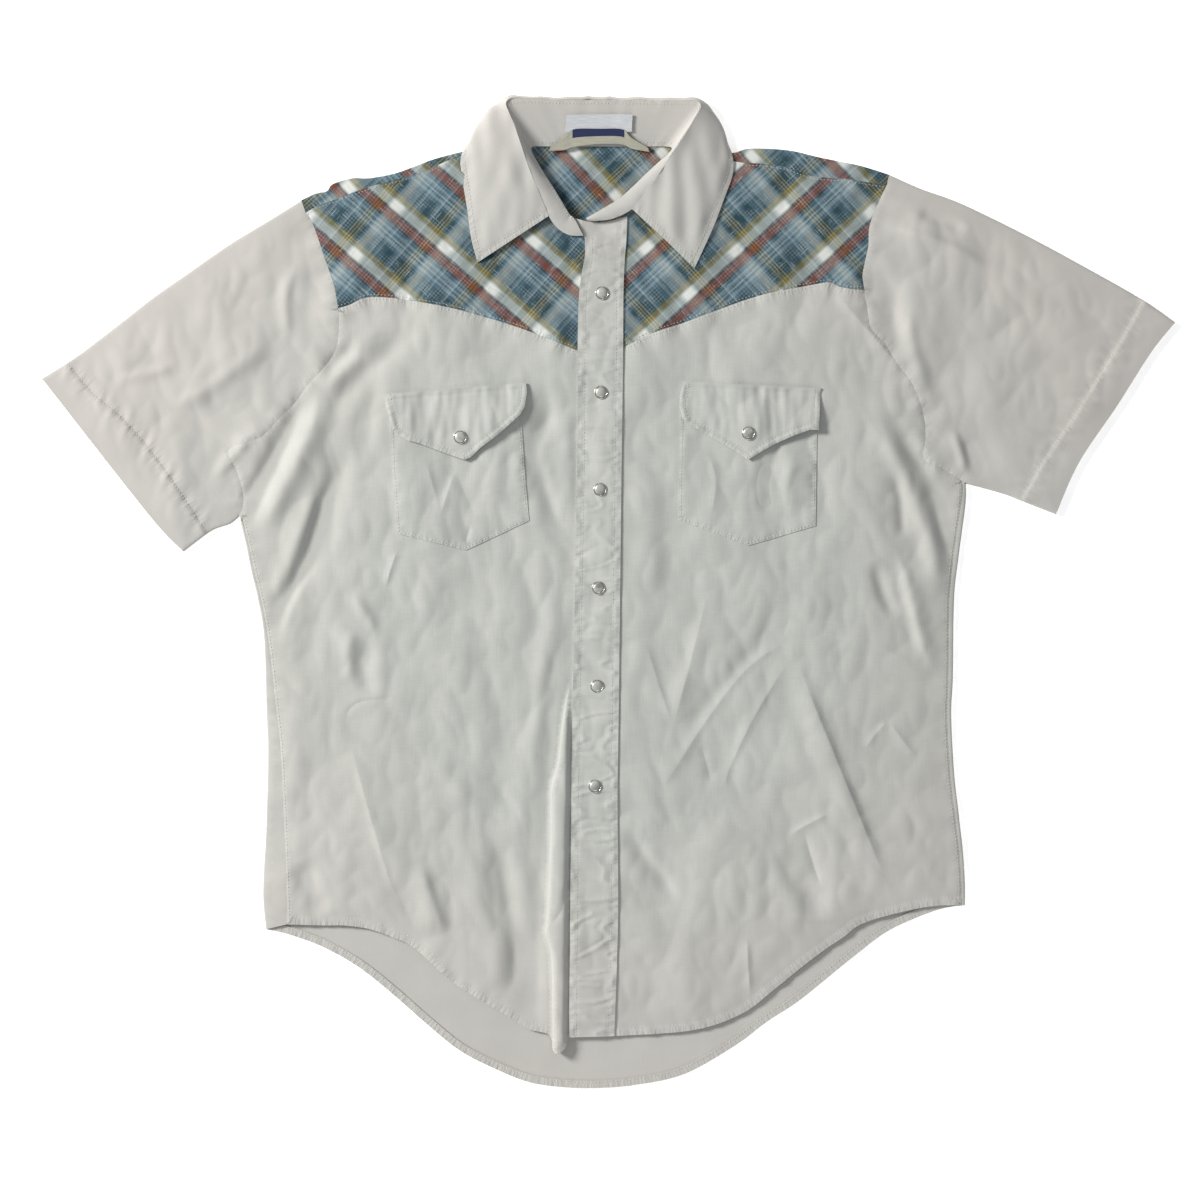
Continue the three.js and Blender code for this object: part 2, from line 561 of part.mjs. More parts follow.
// The hollow of a strip: the folded edge moved in by one wall, the open one moved out
function stripHollow(folded, open, margin) {
  const towards = (from, to, amount) => from.map(([x, y], i) => {
    const nearest = nearestPoint([x, y], to);
    const length = Math.hypot(nearest[0] - x, nearest[1] - y) || 1;
    return [x + ((nearest[0] - x) / length) * amount, y + ((nearest[1] - y) / length) * amount];
  });
  const near = towards(smooth(folded), smooth(open), WALL);
  const far = towards(smooth(open), smooth(folded), -margin);
  const outline = [...near, ...backwards(far)];
  return area(outline) > 0 ? outline : backwards(outline);
}

function nearestPoint([x, y], line) {
  return line.reduce((best, point) => {
    const isCloser = Math.hypot(point[0] - x, point[1] - y) < Math.hypot(best[0] - x, best[1] - y);
    return isCloser ? point : best;
  });
}

// Pieces

function back() {
  const flat = underPanel(outlineOf(
    EDGE.rightSide, EDGE.backHem, backwards(EDGE.leftSide), backwards(EDGE.leftArmholeLow),
    [EDGE.leftArmholeLow[0], EDGE.rightArmholeLow.at(-1)], backwards(EDGE.rightArmholeLow),
  ));
  const right = foldedPanel(
    strip(EDGE.rightSide, EDGE.rightSideSeam),
    stripHollow(EDGE.rightSide, EDGE.rightSideSeam, WRAP_OPENING.side),
  );
  const left = foldedPanel(
    strip(EDGE.leftSide, EDGE.leftSideSeam),
    stripHollow(EDGE.leftSide, EDGE.leftSideSeam, WRAP_OPENING.side),
  );
  return flat.add(right).add(left);
}

function backYoke() {
  const neckBack = [EDGE.rightShoulderFold.at(-1), ...NECK_BACK, EDGE.leftShoulderFold[0]];
  const flat = underPanel(outlineOf(
    EDGE.rightShoulderFold, neckBack, EDGE.leftShoulderFold, backwards(EDGE.leftShoulderTip),
    EDGE.leftArmholeHigh, [EDGE.leftArmholeHigh.at(-1), EDGE.rightArmholeHigh[0]],
    EDGE.rightArmholeHigh, EDGE.rightShoulderTip,
  ));
  const right = foldedPanel(
    strip(EDGE.rightShoulderFold, EDGE.rightShoulderSeam),
    stripHollow(EDGE.rightShoulderFold, EDGE.rightShoulderSeam, WRAP_OPENING.shoulder),
  );
  const left = foldedPanel(
    strip(EDGE.leftShoulderFold, EDGE.leftShoulderSeam),
    stripHollow(EDGE.leftShoulderFold, EDGE.leftShoulderSeam, WRAP_OPENING.shoulder),
  );
  return flat.add(right).add(left);
}

function frontRight() {
  return upperPanel(outlineOf(
    EDGE.rightSideSeam, EDGE.rightHem, backwards(EDGE.centre.slice(3)), backwards(EDGE.rightYokeSeam),
    backwards(EDGE.rightArmholeLow), [EDGE.rightArmholeLow[0], EDGE.rightSideSeam[0]],
  ));
}

function frontLeft() {
  return upperPanel(outlineOf(
    EDGE.leftHem, backwards(EDGE.leftSideSeam), backwards(EDGE.leftArmholeLow.slice(0, -1)),
    backwards(EDGE.leftYokeSeam), [EDGE.leftYokeSeam[0], ...EDGE.centre.slice(4)],
  ));
}

function frontYokeRight() {
  return upperPanel(outlineOf(
    EDGE.rightShoulderSeam, [EDGE.rightShoulderSeam.at(-1), EDGE.rightNeck[0]], EDGE.rightNeck,
    EDGE.centre.slice(0, 4), backwards(EDGE.rightYokeSeam), EDGE.rightArmholeHigh,
  ));
}

function frontYokeLeft() {
  return upperPanel(outlineOf(
    EDGE.leftNeck, [EDGE.leftNeck.at(-1), EDGE.leftShoulderSeam[0]], EDGE.leftShoulderSeam,
    EDGE.leftArmholeHigh, backwards(EDGE.leftYokeSeam),
    [EDGE.leftYokeSeam[0], ...backwards(EDGE.centre.slice(0, 3))],
  ));
}

function placket() {
  const hem = [PLACKET.left.at(-1), PLACKET.right[0]];
  return upperPanel(outlineOf(PLACKET.left, hem, PLACKET.right, PLACKET.top), ON_FRONT, BAND);
}

// A sleeve is a flattened tube: its hollow is open at the cuff and, past the points of
// beyond, at the armhole. Its hem is turned up to the line of hem stitches.
function sleeve(top, cuff, underarm, armhole, beyond, hemLine) {
  const side = Math.sign(cuff[0][0]);
  const pastCuff = cuff.map(([x, y]) => [x + side * PAST_EDGE, y]);
  const hollow = outlineOf(
    top.map(([x, y]) => [x, y - FOLD_WALL]),
    [[cuff[0][0], cuff[0][1] - FOLD_WALL], ...pastCuff, [cuff.at(-1)[0], cuff.at(-1)[1] + FOLD_WALL]],
    underarm.map(([x, y]) => [x, y + FOLD_WALL]),
    [underarm.at(-1), ...beyond, top[0]],
  );
  const hem = outlineOf([hemLine[0], cuff[0]], cuff, [cuff.at(-1), hemLine[1]], backwards(hemLine));
  return foldedPanel(outlineOf(top, cuff, underarm, ...armhole), hollow).add(hemOn(hem));
}

// The doubled cloth of a hem, joined to the panel that it is turned up on
function hemOn(outline) {
  const cut = inset(outline, HEM);
  const low = (x, y) => drape(x, y) + WALL / 2;
  return slab(cut, low, (x, y) => drape(x, y) + WALL + HEM).intersect(cutter(cut));
}

function sleeveRight() {
  return sleeve(
    EDGE.rightSleeveTop, EDGE.rightCuff, EDGE.rightUnderarm,
    [EDGE.rightArmholeLow, EDGE.rightArmholeHigh, EDGE.rightShoulderTip],
    PAST_ARMHOLE.right, SLEEVE_HEMS.right,
  );
}

function sleeveLeft() {
  return sleeve(
    EDGE.leftSleeveTop, EDGE.leftCuff, EDGE.leftUnderarm,
    [backwards(EDGE.leftArmholeLow), backwards(EDGE.leftArmholeHigh), EDGE.leftShoulderTip],
    PAST_ARMHOLE.left, SLEEVE_HEMS.left,
  );
}

// A wall that follows sections of points: half the thickness on either side of them
function sectionWall(sections, thickness) {
  const [lastRow, lastColumn] = [sections.length - 1, sections[0].length - 1];
  const { clamp } = THREE.MathUtils;
  const point = (i, j) => (
    new THREE.Vector3(...sections[clamp(i, 0, lastRow)][clamp(j, 0, lastColumn)])
  );
  const normal = (i, j) => {
    const along = point(i + 1, j).sub(point(i - 1, j));
    const across = point(i, j + 1).sub(point(i, j - 1));
    return along.cross(across).normalize();
  };
  const moved = (amount) => sections.map((section, i) => (
    section.map((_, j) => point(i, j).addScaledVector(normal(i, j), amount))
  ));
  return wall(moved(thickness / 2), moved(-thickness / 2));
}

// Adds sections between those of the table, on smooth curves through their points
function betweenSections(sections, parts) {
  const columns = sections[0].length;
  const at = (i, j) => sections[THREE.MathUtils.clamp(i, 0, sections.length - 1)][j];
  const finer = [];
  for (let i = 0; i + 1 < sections.length; i += 1) {
    for (let p = 0; p < parts; p += 1) {
      finer.push(Array.from({ length: columns }, (_, j) => at(i, j).map((value, k) => (
        catmullRom(at(i - 1, j)[k], value, at(i + 1, j)[k], at(i + 2, j)[k], p / parts)
      ))));
    }
  }
  finer.push(sections.at(-1));
  return finer;
}

function lerpPoint(a, b, t) {
  return a.map((value, k) => value + (b[k] - value) * t);
}

// Collar band: bulges a little between its two edges
function collarStand() {
  const sections = BAND_SECTIONS.map(({ neck, roll }) => [0, 1 / 3, 2 / 3, 1].map((t) => {
    const [x, y, z] = lerpPoint(neck, roll, t);
    return [x, y, z + STAND_BULGE * 4 * t * (1 - t)];
  }));
  return sectionWall(betweenSections(sections, FINER.collar), WALL);
}

// Collar leaf: a curve through its three points in each section
function collarLeaf() {
  const across = [0, 0.25, 0.5, 0.75, 1, 1.25, 1.5, 1.75, 2];
  const sections = LEAF_SECTIONS.map(({ roll, turn, edge }) => across.map((t) => {
    const [a, b, c, d] = t < 1 ? [roll, roll, turn, edge] : [roll, turn, edge, edge];
    return b.map((value, k) => catmullRom(a[k], value, c[k], d[k], t < 1 ? t : t - 1));
  }));
  return sectionWall(betweenSections(sections, FINER.collar), WALL);
}

function label(rows) {
  const sections = rows.map(({ low, high }) => [low, high]);
  return sectionWall(betweenSections(sections, FINER.label), LABEL_WALL);
}

// A snap: a metal ring with a pearl dome, turned round its own axis. It sits just clear
// of the highest cloth under it. under is the height of that cloth over the drape.
function snap(x, y, under) {
  const { radius, ringHeight, turns, seat } = SNAP;
  const pearl = radius - SNAP.rim;
  const profile = [
    [0, 0], [radius - SNAP.bevel, 0], [radius, SNAP.shoulder], [radius - SNAP.lip, ringHeight],
    [pearl, ringHeight],
    ...SNAP.domeAngles.map((degrees) => {
      const turn = THREE.MathUtils.degToRad(degrees);
      return [pearl * Math.cos(turn), ringHeight - SNAP.domeSunk + SNAP.dome * Math.sin(turn)];
    }),
  ];
  profile.at(-1)[0] = 0;
  const points = profile.map(([across, up]) => new THREE.Vector2(across, up));
  const lathe = new THREE.LatheGeometry(points, turns);
  lathe.rotateX(Math.PI / 2);
  lathe.deleteAttribute('normal');
  lathe.deleteAttribute('uv');
  const body = outward(mergeVertices(lathe, SAME_POINT));
  const around = Array.from({ length: turns }, (_, i) => (2 * Math.PI * i) / turns);
  const heights = around.map((a) => drape(x + seat * Math.cos(a), y + seat * Math.sin(a)));
  body.translate(x, y, Math.max(drape(x, y), ...heights) + under + SEWN_GAP);
  return body;
}

// Assembly

const shirt = new THREE.Group();

function asGeometry(body) {
  const mesh = body.simplify(TIDY).getMesh();
  const geometry = new THREE.BufferGeometry();
  geometry.setAttribute('position', new THREE.BufferAttribute(mesh.vertProperties, mesh.numProp));
  geometry.setIndex([...mesh.triVerts]);
  return geometry;
}

function addPiece(name, piece, look) {
  const geometry = piece.isBufferGeometry ? piece : asGeometry(piece);
  const mesh = new THREE.Mesh(geometry, new THREE.MeshStandardMaterial(look));
  mesh.name = name;
  shirt.add(mesh);
}

addPiece('back', back(), CLOTH);
addPiece('back_yoke', backYoke(), PLAID);
addPiece('front_right', frontRight(), CLOTH);
addPiece('front_left', frontLeft(), CLOTH);
addPiece('front_yoke_right', frontYokeRight(), PLAID);
addPiece('front_yoke_left', frontYokeLeft(), PLAID);
addPiece('placket', placket(), CLOTH);
addPiece('sleeve_right', sleeveRight(), CLOTH);
addPiece('sleeve_left', sleeveLeft(), CLOTH);
addPiece('collar_stand', collarStand(), CLOTH);
addPiece('collar', collarLeaf(), CLOTH);
for (const [name, outline] of Object.entries(POCKETS)) {
  addPiece(name, upperPanel(outline, ON_FRONT, WALL), CLOTH);
}
for (const [name, outline] of Object.entries(FLAPS)) {
  addPiece(name, upperPanel(outline, ON_POCKET, BAND), CLOTH);
}
addPiece('label_care', label(CARE_LABEL), LABEL);
addPiece('label_loop', label(LOOP_LABEL), LABEL);
PLACKET_SNAPS.forEach(([x, y], i) => addPiece(`snap_${i + 1}`, snap(x, y, ON_FRONT + BAND), PEARL));
for (const [name, [x, y]] of Object.entries(FLAP_SNAPS)) {
  addPiece(name, snap(x, y, ON_POCKET + BAND), PEARL);
}

export default shirt;
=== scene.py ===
# Looks of a short-sleeved western snap shirt that is laid flat with its front up.
# Every piece is a thin shell on the form of its solid. Tables and heights are in
# millimetres, as in the part's source, and MM turns them into Blender's metres. "Right"
# and "left" in names are the wearer's, so the right front lies on the viewer's left.
import math

import bpy
import numpy as np
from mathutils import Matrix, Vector, geometry, noise


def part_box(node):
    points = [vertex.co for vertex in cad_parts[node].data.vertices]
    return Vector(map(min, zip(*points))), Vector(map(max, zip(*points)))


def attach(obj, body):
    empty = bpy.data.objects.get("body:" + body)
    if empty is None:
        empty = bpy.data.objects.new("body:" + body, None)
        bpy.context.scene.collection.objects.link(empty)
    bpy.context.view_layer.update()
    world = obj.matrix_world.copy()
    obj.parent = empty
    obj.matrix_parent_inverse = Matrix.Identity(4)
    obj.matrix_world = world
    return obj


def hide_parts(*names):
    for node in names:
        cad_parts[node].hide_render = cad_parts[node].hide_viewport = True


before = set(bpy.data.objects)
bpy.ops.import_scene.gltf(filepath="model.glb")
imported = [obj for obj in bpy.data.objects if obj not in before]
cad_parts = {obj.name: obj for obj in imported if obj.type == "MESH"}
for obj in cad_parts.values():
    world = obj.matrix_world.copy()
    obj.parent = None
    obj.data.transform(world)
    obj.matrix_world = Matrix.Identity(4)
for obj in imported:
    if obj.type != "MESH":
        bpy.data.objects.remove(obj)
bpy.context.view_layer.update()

MM = 0.001

# Driving sizes of the solids
WALL = 1.4
FLOOR_WALL = 1.2
INSIDE_GAP = 0.6
LOFT = {"sleeve": 2.2, "yoke": 2.4, "body": 4.4, "reach": 24}
LOFT_ZONES = {"sleeve_from": 290, "sleeve_to": 220, "yoke_from": 300, "yoke_to": 200}
TURN_STEP = 13  # spacing of the points along an edge of the solids

# Driving sizes of the cloth
CLOTH = 0.7  # one layer, as it is shown
DOUBLE = 1.1  # two layers, as they are shown
SEAM = 0.05  # between two pieces that are sewn together
EDGE_STEP = 2.2  # spacing of the points along a cut edge
ON_FRONT = WALL + 1.2  # height of the placket's face over the underside of the fronts
POCKET_FACE = WALL + 0.55
FLAP_FACE = POCKET_FACE + 1.1
COLLAR_PRESS = 0.87  # the collar lies this much lower than its solids
FOLD_ROUND = 1.3  # how far a folded edge rounds out
FOLD_PARTS = 5
HEM_WIDTH = 6.5
STITCH = {"pitch": 3.1, "length": 2.1, "width": 0.55, "height": 0.3}
STITCH_STEP = 0.5  # a stitch's pitch and length are whole numbers of these
SEAM_STITCH = 2  # from a seam to the stitches beside it
PLACKET_STITCH = 6.0
PLACKET_DIP = 0.5  # deeper, it would reach the cloth under it
FLAP_STITCH = 5.0
COLLAR_STITCH = 4.7
BAND_BULGE = 1.1
LEAF_LIFT = 0.45  # the leaf's roll over the edge of the band
TIP_LIFT = 1.9  # how far the points of the collar stand off the yokes
TIP_REACH = 60
CREASE_ENDS = 0.28  # share of a crease over which either end fades

# Spacing of the points on each piece's face
MESH = {
    "back": 6.0, "back_yoke": 4.0, "front": 2.3, "placket": 1.7, "sleeve": 2.4, "hem": 2.2,
    "pocket": 2.0, "flap": 1.5,
}

# Largest folds of the upper layer. Each runs from (x1, y1) to (x2, y2), bows sideways by
# bow at its middle, and fades over the share ends at either end. left and right are its
# half widths on the two sides, seen along its run, and rise is its height.
# Columns: name, x1, y1, x2, y2, bow, left, right, rise, ends
FOLD_TABLE = [
    ["ridge beside the placket", -20, -20, -36, -520, -13, 8, 8, 1.6, 0.28],
    ["crease left of that ridge", -44, -60, -68, -450, -4, 8, 12, -2.2, 0.3],
    ["deep trough at right armhole", -255, 176, -318, 56, 0, 9, 8, -4.2, 0.2],
    ["ridge beside that trough", -240, 168, -299, 50, 0, 10, 9, 4.5, 0.25],
    ["small trough under right yoke", -210, 214, -250, 183, 0, 8, 8, -1.8, 0.35],
    ["drag line to right side", -223, 145, -262, 0, 5, 10, 11, -2.4, 0.3],
    ["lower drag line", -247, 0, -268, -90, 2, 11, 11, -1.6, 0.35],
    ["slanting ridge, right front", -232, -140, -172, -275, 6, 14, 14, 1.8, 0.35],
    ["broad trough, right front", -64, -65, -84, -350, -22, 18, 16, -2.4, 0.3],
    ["ridge at right hem", -162, -294, -136, -345, 0, 11, 11, 2, 0.35],
    ["ridge below left armhole", 219, 164, 288, -12, 10, 9, 8, 3.6, 0.3],
    ["trough beside that ridge", 236, 158, 298, 10, 12, 8, 9, -2.8, 0.3],
    ["long crease, left front", 160, -52, 241, -256, -8, 9, 11, 2.4, 0.3],
    ["broad trough, left front", 134, -182, 194, -266, 0, 17, 17, -2.4, 0.35],
    ["slanting crease, left front", 156, -22, 52, -146, -6, 9, 9, -2, 0.3],
    ["crease across the last", 88, -6, 56, -118, 0, 9, 9, 1.8, 0.35],
    ["trough at right sleeve head", -252, 292, -259, 206, 0, 11, 9, -2.2, 0.35],
    ["ridge across right sleeve", -388, 156, -286, 218, 6, 12, 12, 1.5, 0.35],
    ["trough at left sleeve head", 233, 288, 250, 206, 0, 10, 11, -2.4, 0.35],
    ["ridge across left sleeve", 230, 315, 330, 280, 4, 11, 11, 1.8, 0.35],
]

# Creases that are finer than those folds, each a line through a few places. left and
# right are the half widths, and a crisp one (1) meets in a line instead of a soft curve.
# Columns: name, places, left, right, rise, crisp
CREASE_TABLE = [
    ("crease under the right yoke", [(-214, 213), (-233, 199), (-247, 185)], 7, 7, -1.9, 0),
    ("drag line from the right armpit",
     [(-227, 105), (-235, 97), (-250, 49), (-261, 20), (-280, -15), (-285, -45)], 5, 9, -3.9, 0),
    ("ridge left of that drag line", [(-245, 105), (-263, 54), (-278, 15), (-293, -15)], 7, 7, 2.0, 0),
    ("short crease below the right pocket", [(-181, 36), (-187, 19), (-191, 4)], 2.4, 3.4, 1.7, 1),
    ("crease from the right side up", [(-223, 1), (-209, -17), (-197, -40)], 5, 5, 1.7, 0),
    ("soft ridge of the right front", [(-220, -31), (-223, -54), (-222, -79)], 6, 6, 2.0, 0),
    ("hollow beside that ridge", [(-203, -41), (-209, -65), (-203, -92)], 9, 7, -2.0, 0),
    ("slanting crease of the right front",
     [(-222, -127), (-212, -164), (-199, -210), (-186, -251), (-175, -270)], 10, 3, 1.4, 1),
    ("upper slanting crease", [(-156, -139), (-136, -161), (-111, -184)], 8, 8, 1.5, 0),
    ("bright ridge at the right hem", [(-162, -232), (-152, -264), (-141, -295)], 5, 10, 2.7, 0),
    ("hollow at the right side hem", [(-264, -230), (-254, -256), (-243, -277)], 10, 9, -3.1, 0),
    ("pull at the right side seam", [(-289, -184), (-295, -213), (-298, -240)], 5, 5, -1.7, 0),
    ("faint arc of the right front",
     [(-226, -111), (-224, -103), (-216, -95), (-202, -92), (-186, -92)], 1.4, 1.4, -0.7, 1),
    ("wave beside the placket fold", [(-42, -6), (-55, -58), (-61, -110), (-68, -170)], 9, 8, 1.9, 0),
    ("upper V crease, left arm", [(31, -40), (41, -72), (55, -115)], 3, 8, 1.4, 1),
    ("upper V crease, right arm", [(86, 4), (77, -32), (67, -72), (55, -115)], 3.5, 8, 1.4, 1),
    ("long diagonal crease",
     [(154, -25), (148, -43), (117, -67), (83, -111), (44, -172)], 4, 9, 2.0, 1),
    ("parallel diagonal crease",
     [(154, -60), (137, -86), (120, -116), (104, -151), (94, -181)], 3, 10, 1.7, 1),
    ("long crease to the left hem",
     [(162, -57), (177, -98), (194, -140), (223, -211), (239, -251)], 3, 9, 2.2, 1),
    ("crease to the left side", [(190, -38), (215, -42), (237, -49), (261, -61)], 4, 7, 1.4, 1),
    ("triangle crease, left arm", [(220, -134), (230, -120), (240, -110)], 3, 6, 1.7, 1),
    ("triangle crease, right arm", [(240, -110), (251, -125), (264, -141)], 3, 6, 1.5, 1),
    ("small dark crease, left front", [(168, -206), (174, -227), (183, -254)], 2.5, 4, -1.8, 1),
    ("small light crease, left front", [(154, -209), (170, -199), (190, -189)], 2.5, 4, 1.5, 1),
    ("hollow over the left hem", [(147, -221), (165, -252), (189, -277)], 12, 10, -2.7, 0),
    ("short crease at the left hem", [(119, -295), (120, -320), (122, -348)], 2.5, 4, 1.5, 1),
    ("crease beside the placket, low", [(14, -199), (27, -221), (42, -240), (61, -268)], 5, 8, -2.2, 0),
    ("small crease of the left front", [(79, -130), (84, -146), (88, -164)], 4, 5, -1.5, 1),
    ("level crease over the left hem", [(153, -277), (172, -280), (194, -282)], 3, 3, 0.9, 1),
    ("ridge from the left armhole", [(248, 41), (258, 2), (268, -37), (280, -68)], 8, 5, 3.1, 0),
    ("hollow left of that ridge", [(228, 28), (237, -5), (249, -22)], 6, 6, -2.7, 0),
    ("crease of the left chest", [(245, 105), (251, 80), (253, 45)], 4, 5, -1.9, 0),
    ("soft ridge of the left chest", [(27, 105), (37, 45), (34, -6)], 10, 10, 1.5, 0),
    ("wave across the right sleeve",
     [(-381, 159), (-360, 166), (-339, 178), (-313, 197), (-293, 214)], 7, 8, 2.2, 0),
    ("short wave at the right cuff", [(-426, 179), (-403, 186), (-370, 195)], 5, 6, 1.7, 0),
    ("crease of the right sleeve cap", [(-269, 284), (-277, 252), (-274, 213)], 5, 6, 1.9, 0),
    ("crease over the right underarm", [(-298, 144), (-317, 123), (-339, 97)], 5, 7, 2.0, 0),
    ("trough across the left sleeve", [(264, 326), (285, 320), (309, 311)], 4, 5, -2.0, 0),
    ("ridge across the left sleeve", [(236, 313), (264, 307), (290, 298), (324, 282)], 4, 5, 2.0, 0),
    ("fold at the left underarm", [(306, 131), (315, 116), (321, 97)], 4, 5, -2.4, 0),
    ("ridge at the left underarm", [(295, 140), (302, 121), (307, 100)], 4, 4, 1.9, 0),
    ("crease of the left sleeve cap", [(255, 252), (261, 209), (278, 157)], 6, 7, 2.0, 0),
    ("hollow left of the placket fold",
     [(-94, -205), (-88, -250), (-78, -306), (-82, -345)], 10, 7, -3.2, 0),
    ("ridge left of that hollow",
     [(-112, -190), (-108, -250), (-98, -310), (-100, -345)], 9, 10, 1.6, 0),
    ("crease inside the placket fold", [(-33, -244), (-40, -272), (-52, -287)], 2.5, 3, -1.2, 1),
    ("drag fold to the right yoke", [(-248, 140), (-212, 185), (-165, 228)], 9, 9, -2.6, 0),
    ("ridge over that drag fold", [(-250, 166), (-225, 195), (-190, 232)], 8, 8, 1.8, 0),
    ("drag fold by the right pocket", [(-196, 196), (-207, 150), (-214, 105)], 8, 9, -1.6, 0),
    ("hollow beside the right flap",
     [(-58, 190), (-52, 150), (-63, 118), (-48, 70), (-42, 30)], 6, 9, -2.0, 0),
    ("ridge beside that hollow", [(-38, 160), (-34, 110), (-36, 60)], 6, 8, 1.4, 0),
    ("crease of the left armpit", [(195, 257), (222, 225), (248, 195)], 5, 8, 1.8, 1),
]

# The pleat beside the placket: the line of its folded edge, from the top down
PLEAT = [
    (-20, -41), (-36, -92), (-43, -145), (-49, -170), (-49.5, -217), (-52.6, -280), (-53.8, -293),
    (-48.6, -311), (-47.5, -363), (-47.5, -395),
]
PLEAT_FORM = {"step": 3.2, "foot": 0.9, "foot_reach": 1.6, "under_placket": 1.6}

# Creases of the two pockets, in the same columns
POCKET_CREASES = [
    ("left side of the dark diamond", [(-131.4, 105), (-138, 86), (-144, 66)], 9, 2.5, 1.1, 1),
    ("right side of the dark diamond", [(-131.4, 103), (-122, 83), (-114, 63)], 8, 5, -0.9, 1),
    ("slanting light crease", [(-156, 112), (-150, 90), (-144, 66)], 3, 6, 0.8, 1),
    ("small crease at the point", [(-118, 58), (-121, 48), (-123, 42)], 2, 3, -0.8, 1),
    ("soft ridge", [(-92, 128), (-98, 100), (-96, 70)], 9, 9, 1.1, 0),
    ("crease of the left pocket", [(84, 122), (92, 96), (88, 66)], 4, 7, 1.0, 1),
    ("hollow of the left pocket", [(140, 118), (132, 92), (138, 64)], 8, 8, -1.0, 0),
    ("ridge of the left pocket", [(160, 122), (154, 92), (158, 64)], 7, 6, 1.0, 0),
]

